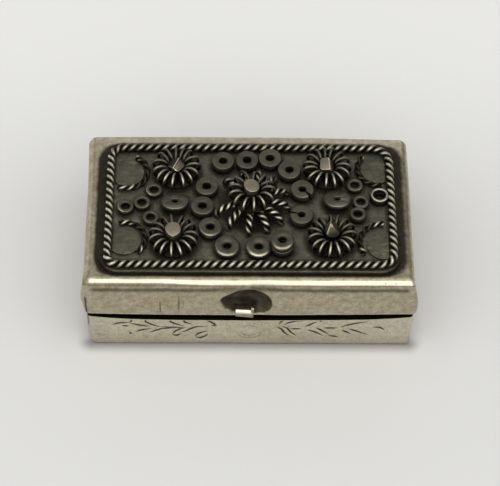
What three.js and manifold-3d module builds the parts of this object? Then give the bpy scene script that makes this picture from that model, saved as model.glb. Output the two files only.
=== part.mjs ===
// Silver pill box with a hinged lid. The lid carries a dark plaque dressed with twisted wire, wire rosettes,
// washers, small rings and a raised centre flower. Millimetres, +Z up, front towards -Y, origin under the
// middle of the whole piece.

import * as THREE from "three";
import { mergeVertices } from "three/addons/utils/BufferGeometryUtils.js";
import Module from "manifold-3d";

const wasm = await Module();
wasm.setup();

// Box. The lid stands out past the base at its ends, and is all but flush with it in front. Its right end
// draws in towards the top.
const boxLength = 45;
const boxWidth = 25.2;
const closedHeight = 14.6;
const baseHeight = 7.2;
const splitGap = 0.3;
const lidWall = 0.58;
const baseWall = 0.7;
const lidTopThickness = 0.8;
const floorThickness = 0.8;
const lidOverhangEnds = 0.16;
const lidOverhangFront = 0.02;
const baseTaper = 0.1;
const planCornerRadius = 0.5;
const leastCornerRadius = 0.1;
const lidFrontRound = 1.35;
const lidSideRound = 1.2;
const lidBackRound = 0.35;
const lidRightDraw = 0.4;
const baseLowerRound = 0.3;
const lidEdgeDip = 0.35;
const baseEdgeDip = 0.95;
const dipEndShare = 0.62;
const wellRound = 0.3;

// Inner rim, soldered inside the base and rising into the lid
const rimThickness = 0.6;
const rimDepthInBase = 3;
const rimRise = 1.1;
const solderGap = 0.02;
const rimCornerRadius = 0.3;
const reliefMargin = 0.4;

// Hinge
const knuckleRadius = 0.7;
const pinRadius = 0.32;
const runningClearance = 0.06;
const knuckleLength = 5.6;
const knuckleCount = 5;
const knuckleGap = 0.08;
const barrelSink = 0.45;
const grooveEndRoom = 0.4;
const rearTrimDepth = 2;
const rearTrimHeight = 4;
const pinHead = 0.35;
const pinHeadRadius = 0.46;
const pinNoseRadius = 0.32;
const pinShoulder = 0.21;

// Thumb dish pressed into the lid front, and the bent strip at its lower lip
const dishCentreX = -0.5;
const dishCentreHeight = 10.45;
const dishHalfLength = 3.5;
const dishHalfHeight = 2.7;
const dishDepth = 0.85;
const dishBowl = 1.6;
const dishPressThinning = 0.1;
const thumbShiftX = -0.25;
const thumbLength = 2.45;
const thumbProjection = 0.55;
const thumbRoot = 0.55;
const thumbThickness = 0.38;
const thumbBend = 0.23;
const thumbLipHeight = 1.33;
const thumbLedgeHeight = 8.5;
const thumbEarHeight = 0.55;
const thumbEarWidth = 0.38;
const thumbTilt = 4;
const fitGap = 0.04;

// Plaque and its twisted wire border
const plaqueEndMargin = 1.9;
const plaqueSideMargin = 1.6;
const plaqueThickness = 0.6;
const plaqueCornerRadius = 3;
const plaqueShiftX = -0.1;
const ropeDiameter = 1.12;
const ropePitch = 2.12;
const ropeMargins = { left: 0.86, right: 0.66, front: 0.27, back: 0.7 };
const ropeCornerRadii = { frontLeft: 1.3, frontRight: 1.8, backRight: 2.5, backLeft: 1.8 };
const ropeJointX = 4.8;
const ropeJointGap = 0.3;
const leastFieldCorner = 0.3;

// Wire rosettes and the studs in their middles
const rosetteWire = 0.45;
const rosetteLoops = 15;
const rosetteLoopRadius = 0.87;
const rosetteLoopOpening = 44;
const rosetteRingShare = 0.75;
const rosetteRingHeight = 0.42;
const studRadius = 1.05;
const studHeights = { back_left: 2.35, back_right: 2.35, front_left: 3.05, front_right: 3.3, flower: 2.7 };
const studEdge = 0.15;
const studConeHeight = 0.75;
const studConeTip = 0.12;
const studRidgeDrop = 0.55;
const studClearance = 0.06;

// Raised centre flower and the twisted stems that carry it
const flowerLoops = 13;
const flowerLift = 2.05;
const stemAngles = [-158, -128, -95, -65, -38, -10, 20, 51, 77, 105, 134];
const stemWire = 0.95;
const stemPitch = 1.5;
const stemSpread = 5.1;
const stemStart = 1.26;
const stemShoulder = 3.9;
const stemSink = 0.05;
const stemArch = 0.15;
const collarRadius = 1.8;
const collarThickness = 0.9;

// Round trim
const washerRadius = 1.55;
const washerHole = 0.55;
const washerHeight = 1.25;
const washerShoulder = 0.3;
const largeWasherRadius = 1.9;
const largeWasherHole = 0.5;
const largeWasherThickness = 0.55;
const largeWasherLean = 16;
const ringRadius = 1.12;
const ringHole = 0.66;
const ringHeight = 0.85;
const ringShoulder = 0.6;
const discThickness = 0.3;
const arcWire = 0.84;
const arcPitch = 1.7;

// Places on the plaque, from the middle of the field inside its border, and the field they were drawn for. On
// another plaque they spread with the field, and the pieces shrink with its tighter side.
const drawnFieldLength = 37.44;
const drawnFieldWidth = 18.79;
const rosettePlaces = {
  back_left: [-10.25, 5.93],
  back_right: [10.55, 5.95],
  front_left: [-10.45, -5.79],
  front_right: [10.95, -5.64],
};
const flowerPlace = [0.1, 0.31];
const washerPlaces = [
  [-3.8, 7.21],
  [-0.45, 7.41],
  [2.7, 7.78],
  [5.4, 5.71],
  [7.1, 2.31],
  [6.95, -2.03],
  [1.1, -7.28],
  [-3.2, -7.18],
  [-5.5, -4.09],
  [-6.6, -0.58],
  [-6.0, 2.81],
];
const stackedWasherPlace = [4.25, -7.08];
const largeWasherPlaces = { left: [-10.35, 0.2], right: [11.85, 0.68] };
const ringPlaces = {
  left: [
    [-13.25, 2.46],
    [-14.85, 0.31],
    [-17.1, -0.43],
    [-13.6, -2.23],
  ],
  right: [
    [14.35, 3.41],
    [15.1, 0.56],
    [17.5, 1.5],
    [14.6, -1.74],
  ],
};
const discPlaces = {
  back_left: { at: [-17.0, 5.71], radius: 2.33 },
  back_right: { at: [17.62, 6.43], radius: 2.33 },
  front_left: { at: [-17.1, -5.88], radius: 2.33 },
  front_right: { at: [18.0, -6.53], radius: 2.3 },
};
const arcPlaces = {
  back_left: { at: [-17.0, 5.71], radius: 2.8, from: -115, to: 66 },
  back_right: { at: [17.62, 6.43], radius: 2.85, from: 134, to: 278 },
  front_left: { at: [-17.1, -5.79], radius: 2.85, from: -48, to: 105 },
  front_right: { at: [17.9, -6.14], radius: 3.15, from: 92, to: 218 },
};

// Worked out from the sizes above
const halfLength = boxLength / 2;
const halfWidth = boxWidth / 2;
const lidEdge = baseHeight + splitGap;
const hingeHeight = baseHeight + splitGap / 2;
const hingeY = halfWidth - barrelSink + knuckleRadius;
const baseHalfLength = halfLength - lidOverhangEnds;
const baseHalfWidth = halfWidth - lidOverhangFront;
const plaqueLength = boxLength - 2 * plaqueEndMargin;
const plaqueWidth = boxWidth - 2 * plaqueSideMargin;
const plaqueTop = closedHeight + plaqueThickness;
const thumbFrontY = -halfWidth - thumbProjection;
const barrelBackY = hingeY + knuckleRadius;
const centringShift = -(thumbFrontY + barrelBackY) / 2;
const rosetteReach = studRadius + studClearance + 2 * (rosetteLoopRadius + rosetteWire / 2);
const rosetteLoopCentre = rosetteReach - rosetteLoopRadius - rosetteWire / 2;
const border = {
  left: -plaqueLength / 2 + ropeMargins.left + ropeDiameter / 2,
  right: plaqueLength / 2 - ropeMargins.right - ropeDiameter / 2,
  front: -plaqueWidth / 2 + ropeMargins.front + ropeDiameter / 2,
  back: plaqueWidth / 2 - ropeMargins.back - ropeDiameter / 2,
};
const spreadX = (border.right - border.left - ropeDiameter) / drawnFieldLength;
const spreadY = (border.back - border.front - ropeDiameter) / drawnFieldWidth;
const trimScale = Math.min(1, spreadX, spreadY);
const fieldMiddle = [(border.left + border.right) / 2, (border.front + border.back) / 2];

const brightSilver = new THREE.MeshStandardMaterial({ color: 0xb4ae9c, roughness: 0.34, metalness: 1 });
const baseSilver = new THREE.MeshStandardMaterial({ color: 0xbab5a6, roughness: 0.4, metalness: 1 });
const wornSilver = new THREE.MeshStandardMaterial({ color: 0x9a9484, roughness: 0.36, metalness: 1 });
const darkSilver = new THREE.MeshStandardMaterial({ color: 0x4a4842, roughness: 0.5, metalness: 1 });
const studSilver = new THREE.MeshStandardMaterial({ color: 0x9c8f80, roughness: 0.4, metalness: 1 });

// A closed geometry as a solid that can be joined and cut.
function solidOf(geometry) {
  const bare = new THREE.BufferGeometry().setAttribute("position", geometry.getAttribute("position"));
  bare.setIndex(geometry.index);
  const merged = mergeVertices(bare, 1e-4);
  return new wasm.Manifold(
    new wasm.Mesh({
      numProp: 3,
      vertProperties: new Float32Array(merged.attributes.position.array),
      triVerts: new Uint32Array(merged.index.array),
    }),
  );
}

function geometryOf(solid) {
  const mesh = solid.getMesh();
  const geometry = new THREE.BufferGeometry();
  geometry.setAttribute("position", new THREE.BufferAttribute(new Float32Array(mesh.vertProperties), 3));
  geometry.setIndex(new THREE.BufferAttribute(new Uint32Array(mesh.triVerts), 1));
  const faceted = geometry.toNonIndexed();
  faceted.computeVertexNormals();
  return faceted;
}

function joined(solids) {
  return solids.reduce((whole, next) => whole.add(next));
}

// Skins a row of closed rings that hold the same number of points, and caps both ends.
function loft(rings) {
  const count = rings[0].length;
  const lastRing = (rings.length - 1) * count;
  const index = [];
  for (let i = 0; i < rings.length - 1; i++) {
    for (let j = 0; j < count; j++) {
      const here = i * count + j;
      const beside = i * count + ((j + 1) % count);
      index.push(here, beside, beside + count, here, beside + count, here + count);
    }
  }
  for (let j = 1; j < count - 1; j++) {
    index.push(0, j + 1, j);
    index.push(lastRing, lastRing + j, lastRing + j + 1);
  }
  const geometry = new THREE.BufferGeometry().setFromPoints(rings.flat());
  geometry.setIndex(index);
  return geometry;
}

// A ring of points round a rectangle with rounded corners, anticlockwise from above.
function rectangleRing(left, right, front, back, radius, z) {
  const corners = [
    [right - radius, back - radius, 0],
    [left + radius, back - radius, 90],
    [left + radius, front + radius, 180],
    [right - radius, front + radius, 270],
  ];
  const stepsPerCorner = 3;
  const ring = [];
  for (const [x, y, start] of corners) {
    for (let step = 0; step <= stepsPerCorner; step++) {
      const angle = THREE.MathUtils.degToRad(start + (90 * step) / stepsPerCorner);
      ring.push(new THREE.Vector3(x + radius * Math.cos(angle), y + radius * Math.sin(angle), z));
    }
  }
  return ring;
}

// How far a rounded top edge has drawn in at a height, for an edge of that radius under the given top.
function edgeInset(radius, top, z) {
  const climb = Math.max(0, z - (top - radius));
  return radius - Math.sqrt(Math.max(0, radius * radius - climb * climb));
}

// The lid's block form, drawn in by inset on the walls and by topInset at the top. The front edge has the
// largest round and the back edge the smallest.
function lidForm(bottom, inset, topInset) {
  const top = closedHeight - topInset;
  const frontRound = lidFrontRound - inset;
  const sideRound = lidSideRound - inset;
  const backRound = Math.max(0, lidBackRound - inset);
  const radius = Math.max(leastCornerRadius, planCornerRadius - inset / 2);
  const steps = 6;
  const heights = [bottom, lidEdge];
  for (let step = 0; step <= steps; step++) {
    heights.push(top - frontRound + frontRound * Math.sin((Math.PI / 2) * (step / steps)));
  }
  return loft(
    heights.map((z) => {
      const side = inset + edgeInset(sideRound, top, z);
      const front = inset + edgeInset(frontRound, top, z);
      const back = inset + edgeInset(backRound, top, z);
      const draw = lidRightDraw * THREE.MathUtils.clamp((z - lidEdge) / (top - frontRound - lidEdge), 0, 1);
      return rectangleRing(
        -halfLength + side,
        halfLength - side - draw,
        -halfWidth + front,
        halfWidth - back,
        radius,
        z,
      );
    }),
  );
}

// A flat shape in X and height, pushed through from one depth to another.
function throughDepth(shape, front, back) {
  const geometry = new THREE.ExtrudeGeometry(shape, {
    depth: back - front,
    bevelEnabled: false,
    curveSegments: 16,
  });
  geometry.rotateX(Math.PI / 2);
  geometry.translate(0, back, 0);
  return geometry;
}

// Draws once round a rectangle with rounded corners, anticlockwise from a place on its front side.
function roundRectangle(route, { left, right, front, back }, radii, startX, endX) {
  const { frontLeft, frontRight, backRight, backLeft } = radii;
  route.moveTo(startX, front);
  route.lineTo(right - frontRight, front);
  route.absarc(right - frontRight, front + frontRight, frontRight, -Math.PI / 2, 0);
  route.lineTo(right, back - backRight);
  route.absarc(right - backRight, back - backRight, backRight, 0, Math.PI / 2);
  route.lineTo(left + backLeft, back);
  route.absarc(left + backLeft, back - backLeft, backLeft, Math.PI / 2, Math.PI);
  route.lineTo(left, front + frontLeft);
  route.absarc(left + frontLeft, front + frontLeft, frontLeft, Math.PI, 1.5 * Math.PI);
  if (endX !== undefined) route.lineTo(endX, front);
  return route;
}

function roundedRectangle(sides, radii) {
  return roundRectangle(new THREE.Shape(), sides, radii, sides.left + radii.frontLeft);
}

function evenRadii(radius) {
  return { frontLeft: radius, frontRight: radius, backRight: radius, backLeft: radius };
}

// A turned piece about Z. The profile lists radius and height anticlockwise, and is closed here unless it
// meets the axis.
function turned(profile, segments) {
  const points = profile.map(([radius, height]) => new THREE.Vector2(radius, height));
  const onAxis = profile[0][0] === 0 && profile[profile.length - 1][0] === 0;
  if (!onAxis) points.push(points[0].clone());
  const geometry = new THREE.LatheGeometry(points, segments);
  geometry.rotateX(Math.PI / 2);
  return geometry;
}

function turnedAlongX(profile, segments) {
  return turned(profile, segments).rotateY(Math.PI / 2);
}

// Places a section along points that lie in one plane, turning it as it goes.
function swept(points, planeNormal, section, turnsPerPoint) {
  const rings = points.map((point, i) => {
    const before = points[Math.max(0, i - 1)];
    const after = points[Math.min(points.length - 1, i + 1)];
    const tangent = after.clone().sub(before).normalize();
    const side = new THREE.Vector3().crossVectors(planeNormal, tangent).normalize();
    const turn = 2 * Math.PI * turnsPerPoint * i;
    return section.map(([u, v]) => {
      const across = u * Math.cos(turn) - v * Math.sin(turn);
      const along = u * Math.sin(turn) + v * Math.cos(turn);
      return point.clone().addScaledVector(side, across).addScaledVector(planeNormal, along);
    });
  });
  return loft(rings);
}

// Round wire along points in one plane.
function wireAlong(points, planeNormal, diameter, sides) {
  const section = [];
  for (let side = 0; side < sides; side++) {
    const angle = (2 * Math.PI * side) / sides;
    section.push([(diameter / 2) * Math.cos(angle), (diameter / 2) * Math.sin(angle)]);
  }
  return swept(points, planeNormal, section, 0);
}

// A pair of wires twisted together, as one bar of the pair's outer diameter that turns once in each pitch.
const twistStepsPerTurn = 5;
const twistHalfAcross = 0.435;
const twistHalfThick = 0.245;

function twistedPair(curve, planeNormal, diameter, pitch) {
  const steps = Math.round((curve.getLength() / pitch) * twistStepsPerTurn);
  const points = curve.getSpacedPoints(steps).map((p) => new THREE.Vector3(p.x, p.y, p.z ?? 0));
  const halfAcross = diameter * twistHalfAcross;
  const halfThick = diameter * twistHalfThick;
  const section = [
    [halfAcross, -halfThick],
    [halfAcross, halfThick],
    [-halfAcross, halfThick],
    [-halfAcross, -halfThick],
  ];
  return swept(points, planeNormal, section, 1 / twistStepsPerTurn);
}

const upward = new THREE.Vector3(0, 0, 1);

// The ellipsoid bowl of the thumb dish, grown by an allowance all round.
function dishBowlForm(allowance) {
  const spread = Math.sqrt(1 - ((dishBowl - dishDepth) / dishBowl) ** 2);
  const bowl = new THREE.SphereGeometry(1, 20, 12);
  bowl.rotateX(Math.PI / 2);
  bowl.scale(dishHalfLength / spread + allowance, dishBowl + allowance, dishHalfHeight / spread + allowance);
  bowl.translate(dishCentreX, -halfWidth - dishBowl + dishDepth, dishCentreHeight);
  return solidOf(bowl);
}

// The bent strip: a ledge that stands out of the dish's lower lip, a lip turned down in front and an ear at
// one end.
function thumbPiece(allowance) {
  const front = thumbFrontY - allowance;
  const behind = -halfWidth + thumbRoot + allowance;
  const top = thumbLedgeHeight + allowance;
  const under = thumbLedgeHeight - thumbThickness - allowance;
  const profile = new THREE.Shape();
  profile.moveTo(behind, under);
  profile.lineTo(behind, top);
  profile.lineTo(front + thumbBend, top);
  profile.quadraticCurveTo(front, top, front, top - thumbBend);
  profile.lineTo(front, thumbLedgeHeight - thumbLipHeight - allowance);
  profile.lineTo(front + thumbThickness + 2 * allowance, thumbLedgeHeight - thumbLipHeight - allowance);
  profile.lineTo(front + thumbThickness + 2 * allowance, under);
  const length = thumbLength + 2 * allowance;
  const strip = new THREE.ExtrudeGeometry(profile, { depth: length, bevelEnabled: false, curveSegments: 3 });
  strip.rotateY(Math.PI / 2);
  strip.rotateX(Math.PI / 2);
  strip.translate(-length / 2, 0, 0);
  const ear = new THREE.BoxGeometry(
    thumbEarWidth + 2 * allowance,
    thumbThickness + 2 * allowance,
    thumbEarHeight + thumbThickness,
  );
  ear.translate(
    (thumbLength - thumbEarWidth) / 2,
    thumbFrontY + thumbProjection / 2,
    thumbLedgeHeight + (thumbEarHeight - thumbThickness) / 2,
  );
  const tilt = THREE.MathUtils.degToRad(thumbTilt);
  const place = (geometry) =>
    solidOf(
      geometry
        .translate(0, 0, -thumbLedgeHeight)
        .rotateY(tilt)
        .translate(dishCentreX + thumbShiftX, 0, thumbLedgeHeight),
    );
  return place(strip).add(place(ear));
}

// The round seat that both rear walls give the hinge barrel.
function barrelGroove() {
  const radius = knuckleRadius + runningClearance + solderGap;
  const reach = (knuckleLength * knuckleCount) / 2 + pinHead + grooveEndRoom;
  const groove = new THREE.CylinderGeometry(radius, radius, 2 * reach, 24);
  groove.rotateZ(Math.PI / 2);
  groove.translate(0, hingeY, hingeHeight);
  return solidOf(groove);
}

function lidShell() {
  const lowest = lidEdge - lidEdgeDip;
  let shell = solidOf(lidForm(lowest, 0, 0));
  shell = shell.subtract(solidOf(lidForm(lowest - 1, lidWall, lidTopThickness)));
  const pressed = dishBowlForm(lidWall - dishPressThinning).intersect(solidOf(lidForm(lowest, 0, 0)));
  shell = shell.add(pressed).subtract(dishBowlForm(0));

  const reach = halfLength + 1;
  const edge = new THREE.Shape();
  edge.moveTo(-reach, lowest - 1);
  edge.lineTo(reach, lowest - 1);
  edge.lineTo(reach, lidEdge);
  edge.lineTo(halfLength, lidEdge);
  edge.quadraticCurveTo(0, lidEdge - 2 * lidEdgeDip, -halfLength, lidEdge);
  edge.lineTo(-reach, lidEdge);
  shell = shell.subtract(solidOf(throughDepth(edge, -halfWidth - 1, halfWidth + 1)));

  const rearTrim = new THREE.BoxGeometry(2 * reach, rearTrimDepth, rearTrimHeight);
  rearTrim.translate(0, halfWidth, lidEdge - rearTrimHeight / 2);
  shell = shell.subtract(solidOf(rearTrim));
  return shell.subtract(barrelGroove()).subtract(thumbPiece(fitGap));
}

// The tray's block form: its ends taper downwards, and its lower edges are rounded.
function trayForm() {
  const steps = 4;
  const rings = [];
  for (let step = 0; step <= steps; step++) {
    const angle = (Math.PI / 2) * (step / steps);
    const inset = baseLowerRound * (1 - Math.sin(angle));
    rings.push(trayRing(baseTaper + inset, inset, baseLowerRound * (1 - Math.cos(angle))));
  }
  rings.push(trayRing(0, 0, baseHeight));
  return loft(rings);
}

function trayRing(insetX, insetY, z) {
  const x = baseHalfLength - insetX;
  const y = baseHalfWidth - insetY;
  return rectangleRing(-x, x, -y, y, planCornerRadius, z);
}

function baseTray() {
  const innerX = baseHalfLength - baseWall;
  const innerY = baseHalfWidth - baseWall;
  const footX = innerX - wellRound;
  const footY = innerY - wellRound;
  const well = loft([
    rectangleRing(-footX, footX, -footY, footY, wellRound, floorThickness),
    rectangleRing(-innerX, innerX, -innerY, innerY, wellRound, floorThickness + wellRound),
    rectangleRing(-innerX, innerX, -innerY, innerY, wellRound, baseHeight + 1),
  ]);
  const dip = new THREE.Shape();
  dip.moveTo(baseHalfLength, baseHeight + 1);
  dip.lineTo(-baseHalfLength, baseHeight + 1);
  dip.lineTo(-baseHalfLength, baseHeight);
  // A cubic curve between level ends sinks to three quarters of its control points' depth
  const controlHeight = baseHeight - (4 / 3) * baseEdgeDip;
  const controlX = dipEndShare * baseHalfLength;
  dip.bezierCurveTo(-controlX, controlHeight, controlX, controlHeight, baseHalfLength, baseHeight);
  return solidOf(trayForm())
    .subtract(solidOf(well))
    .subtract(solidOf(throughDepth(dip, -baseHalfWidth - 1, -innerY)))
    .subtract(barrelGroove());
}

// A band inside the base walls, let down in front to pass the back of the thumb dish.
function innerRim() {
  const x = baseHalfLength - baseWall - solderGap;
  const y = baseHalfWidth - baseWall - solderGap;
  const low = baseHeight - rimDepthInBase;
  const high = lidEdge + rimRise;
  const outer = loft([
    rectangleRing(-x, x, -y, y, rimCornerRadius, low),
    rectangleRing(-x, x, -y, y, rimCornerRadius, high),
  ]);
  const inX = x - rimThickness;
  const inY = y - rimThickness;
  const inner = loft([
    rectangleRing(-inX, inX, -inY, inY, rimCornerRadius, low - 1),
    rectangleRing(-inX, inX, -inY, inY, rimCornerRadius, high + 1),
  ]);
  const reliefLength = 2 * (dishHalfLength + lidWall + reliefMargin);
  const relief = new THREE.BoxGeometry(reliefLength, 4 * rimThickness, 2 * (high - baseHeight));
  relief.translate(dishCentreX, -y, high);
  return solidOf(outer).subtract(solidOf(inner)).subtract(solidOf(relief));
}

function knuckle(index) {
  const length = knuckleLength - knuckleGap;
  const bore = pinRadius + runningClearance;
  const tube = turnedAlongX(
    [
      [bore, -length / 2],
      [knuckleRadius, -length / 2],
      [knuckleRadius, length / 2],
      [bore, length / 2],
    ],
    16,
  );
  tube.translate((index - (knuckleCount - 1) / 2) * knuckleLength, hingeY, hingeHeight);
  return tube;
}

function hingePin() {
  const half = (knuckleLength * knuckleCount) / 2;
  const pin = turnedAlongX(
    [
      [0, -half - pinHead],
      [pinNoseRadius, -half - pinHead],
      [pinHeadRadius, -half - pinShoulder],
      [pinHeadRadius, -half],
      [pinRadius, -half],
      [pinRadius, half],
      [pinHeadRadius, half],
      [pinHeadRadius, half + pinShoulder],
      [pinNoseRadius, half + pinHead],
      [0, half + pinHead],
    ],
    12,
  );
  pin.translate(0, hingeY, hingeHeight);
  return pin;
}

function plaquePlate() {
  const x = plaqueLength / 2;
  const y = plaqueWidth / 2;
  const shape = roundedRectangle({ left: -x, right: x, front: -y, back: y }, evenRadii(plaqueCornerRadius));
  const plate = new THREE.ExtrudeGeometry(shape, {
    depth: plaqueThickness,
    bevelEnabled: false,
    curveSegments: 6,
  });
  plate.translate(plaqueShiftX, 0, closedHeight);
  return plate;
}

// The border runs once round from the right of its joint to the left of it.
function ropeBorder() {
  const route = new THREE.Path();
  const [joint] = inField([ropeJointX, 0]);
  roundRectangle(route, border, ropeCornerRadii, joint + ropeJointGap / 2, joint - ropeJointGap / 2);
  return twistedPair(route, upward, ropeDiameter, ropePitch).translate(0, 0, ropeDiameter / 2);
}

function inField([x, y]) {
  return [fieldMiddle[0] + x * spreadX, fieldMiddle[1] + y * spreadY];
}

// A flat disc whose outer side stops at the border's inner edge.
function cornerDisc({ at, radius }) {
  const [x, y] = inField(at);
  const disc = new THREE.CylinderGeometry(radius * trimScale, radius * trimScale, discThickness, 28);
  disc.rotateX(Math.PI / 2);
  disc.translate(x, y, discThickness / 2);
  const clear = ropeDiameter / 2 + fitGap;
  const inside = {
    left: border.left + clear,
    right: border.right - clear,
    front: border.front + clear,
    back: border.back - clear,
  };
  const radii = Object.fromEntries(
    Object.entries(ropeCornerRadii).map(([corner, round]) => [corner, Math.max(leastFieldCorner, round - clear)]),
  );
  const field = new THREE.ExtrudeGeometry(roundedRectangle(inside, radii), {
    depth: 2 * discThickness,
    bevelEnabled: false,
    curveSegments: 3,
  });
  field.translate(0, 0, -discThickness / 2);
  return geometryOf(solidOf(disc).intersect(solidOf(field)));
}

// Short twisted wire that hugs a corner disc on its inner side.
function cornerArc({ radius, from, to }) {
  const curve = new THREE.Path();
  curve.absarc(0, 0, radius, THREE.MathUtils.degToRad(from), THREE.MathUtils.degToRad(to));
  return twistedPair(curve, upward, arcWire, arcPitch).translate(0, 0, arcWire / 2);
}

// Loops of wire that stand round a low ring, each in its own radial plane.
function rosette(loops) {
  const ringInner = studRadius + studClearance;
  const ring = turned(
    [
      [ringInner, 0],
      [rosetteLoopCentre + rosetteRingShare * rosetteLoopRadius, 0],
      [rosetteLoopCentre + rosetteRingShare * rosetteLoopRadius, rosetteRingHeight],
      [ringInner, rosetteRingHeight],
    ],
    20,
  );
  const loopSteps = 6;
  const openAngle = rosetteLoopOpening;
  const centreHeight = rosetteLoopRadius + rosetteWire / 2 + fitGap;
  const points = [];
  for (let step = 0; step <= loopSteps; step++) {
    const turn = THREE.MathUtils.degToRad(-90 + openAngle / 2 + ((360 - openAngle) * step) / loopSteps);
    points.push(
      new THREE.Vector3(
        rosetteLoopCentre + rosetteLoopRadius * Math.cos(turn),
        0,
        centreHeight + rosetteLoopRadius * Math.sin(turn),
      ),
    );
  }
  const planeNormal = new THREE.Vector3(0, -1, 0);
  const solids = [solidOf(ring)];
  for (let loop = 0; loop < loops; loop++) {
    const wire = wireAlong(points, planeNormal, rosetteWire, 4);
    solids.push(solidOf(wire.rotateZ((2 * Math.PI * loop) / loops)));
  }
  return geometryOf(joined(solids));
}

// Studs end in different hand-cut tops.
function roundStud(height, top) {
  const shoulder = height - (top === "cone" ? studConeHeight : studEdge);
  const tip = top === "cone" ? studConeTip : studRadius - studEdge;
  return turned(
    [
      [0, 0],
      [studRadius, 0],
      [studRadius, shoulder],
      [tip, height],
      [0, height],
    ],
    18,
  );
}

function ridgedStud(height, ridgeAngle) {
  const roof = new THREE.Shape();
  roof.moveTo(-2 * studRadius, height - 2 * studRidgeDrop);
  roof.lineTo(0, height);
  roof.lineTo(2 * studRadius, height - 2 * studRidgeDrop);
  roof.lineTo(2 * studRadius, -1);
  roof.lineTo(-2 * studRadius, -1);
  const prism = throughDepth(roof, -2 * studRadius, 2 * studRadius);
  prism.rotateZ(THREE.MathUtils.degToRad(ridgeAngle));
  return geometryOf(solidOf(roundStud(height, "flat")).intersect(solidOf(prism)));
}

const studTops = {
  back_left: (height) => ridgedStud(height, -35),
  back_right: (height) => ridgedStud(height, 0),
  front_left: (height) => roundStud(height, "flat"),
  front_right: (height) => roundStud(height, "cone"),
};

// The flower stands on a collar, from which twisted stems arch out and down to the plaque.
function stemCage() {
  const collar = new THREE.CylinderGeometry(collarRadius, collarRadius, collarThickness, 18);
  collar.rotateX(Math.PI / 2);
  collar.translate(0, 0, flowerLift - fitGap - collarThickness / 2);
  const solids = [solidOf(collar)];
  const leave = flowerLift - fitGap - stemWire / 2;
  for (const angle of stemAngles) {
    const route = new THREE.CubicBezierCurve3(
      new THREE.Vector3(stemStart, 0, leave - stemSink),
      new THREE.Vector3(stemShoulder, 0, leave + stemArch),
      new THREE.Vector3(stemSpread, 0, leave + stemArch),
      new THREE.Vector3(stemSpread, 0, 2 * fitGap),
    );
    const wire = twistedPair(route, new THREE.Vector3(0, -1, 0), stemWire, stemPitch);
    solids.push(solidOf(wire.rotateZ(THREE.MathUtils.degToRad(angle))));
  }
  return geometryOf(joined(solids));
}

const washerSides = 12;

function washer(outer, hole, height, segments) {
  const shoulder = Math.min(washerShoulder, (outer - hole) / 3);
  return turned(
    [
      [hole, 0],
      [outer, 0],
      [outer, height - shoulder],
      [outer - shoulder, height],
      [hole, height],
    ],
    segments,
  );
}

function smallRing() {
  const middle = (ringRadius + ringHole) / 2;
  return turned(
    [
      [ringHole, 0],
      [ringRadius, 0],
      [ringRadius, ringShoulder],
      [middle, ringHeight],
      [ringHole, ringShoulder],
    ],
    10,
  );
}

function named(name, shape, material) {
  const geometry = shape.isBufferGeometry ? shape : geometryOf(shape);
  const mesh = new THREE.Mesh(geometry, material);
  mesh.name = name;
  return mesh;
}

// Brings an ornament to the plaque's scale and to its place there.
function placed(mesh, at, z = 0) {
  mesh.geometry.scale(trimScale, trimScale, trimScale);
  mesh.position.set(...inField(at), z * trimScale);
  return mesh;
}

const base = new THREE.Group();
base.add(named("base_tray", baseTray(), baseSilver));
base.add(named("inner_rim", innerRim(), brightSilver));
base.add(named("hinge_pin", hingePin(), brightSilver));

const lid = new THREE.Group();
lid.add(named("lid_shell", lidShell(), brightSilver));
lid.add(named("thumb_piece", thumbPiece(0), brightSilver));
lid.add(named("plaque_plate", plaquePlate(), darkSilver));

for (let index = 0; index < knuckleCount; index++) {
  const onBase = index % 2 === 0;
  const mesh = named((onBase ? "base_knuckle_" : "lid_knuckle_") + (index + 1), knuckle(index), brightSilver);
  (onBase ? base : lid).add(mesh);
}

const ornament = new THREE.Group();
ornament.position.set(plaqueShiftX, 0, plaqueTop);
lid.add(ornament);
ornament.add(named("rope_border", ropeBorder(), wornSilver));

for (const [corner, place] of Object.entries(rosettePlaces)) {
  const stud = studTops[corner](studHeights[corner]);
  ornament.add(placed(named("rosette_" + corner, rosette(rosetteLoops), wornSilver), place));
  ornament.add(placed(named("rosette_stud_" + corner, stud, studSilver), place));
  ornament.add(named("corner_disc_" + corner, cornerDisc(discPlaces[corner]), darkSilver));
  const arc = arcPlaces[corner];
  ornament.add(placed(named("corner_arc_" + corner, cornerArc(arc), wornSilver), arc.at));
}

const flowerStud = roundStud(studHeights.flower, "flat");
ornament.add(placed(named("stem_cage", stemCage(), wornSilver), flowerPlace));
ornament.add(placed(named("flower_rosette", rosette(flowerLoops), wornSilver), flowerPlace, flowerLift));
ornament.add(placed(named("flower_stud", flowerStud, studSilver), flowerPlace, flowerLift));

washerPlaces.forEach((place, index) => {
  const shape = washer(washerRadius, washerHole, washerHeight, washerSides);
  ornament.add(placed(named("washer_" + (index + 1), shape, wornSilver), place));
});
["lower", "upper"].forEach((level, index) => {
  const shape = washer(washerRadius, washerHole, washerHeight, washerSides);
  const mesh = named("stacked_washer_" + level, shape, index === 0 ? darkSilver : wornSilver);
  ornament.add(placed(mesh, stackedWasherPlace, index * washerHeight));
});

// The two large washers lean towards the back, so each stands on its rear edge.
for (const [side, place] of Object.entries(largeWasherPlaces)) {
  const shape = washer(largeWasherRadius, largeWasherHole, largeWasherThickness, 18);
  const lean = THREE.MathUtils.degToRad(largeWasherLean);
  const lift = largeWasherRadius * Math.sin(lean) + fitGap;
  const mesh = placed(named("large_washer_" + side, shape, darkSilver), place, lift);
  mesh.rotation.x = -lean;
  ornament.add(mesh);
}

for (const [side, places] of Object.entries(ringPlaces)) {
  places.forEach((place, index) => {
    ornament.add(placed(named("small_ring_" + side + "_" + (index + 1), smallRing(), wornSilver), place));
  });
}

const pillBox = new THREE.Group();
pillBox.add(base, lid);
pillBox.position.y = centringShift;

export default pillBox;
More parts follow.
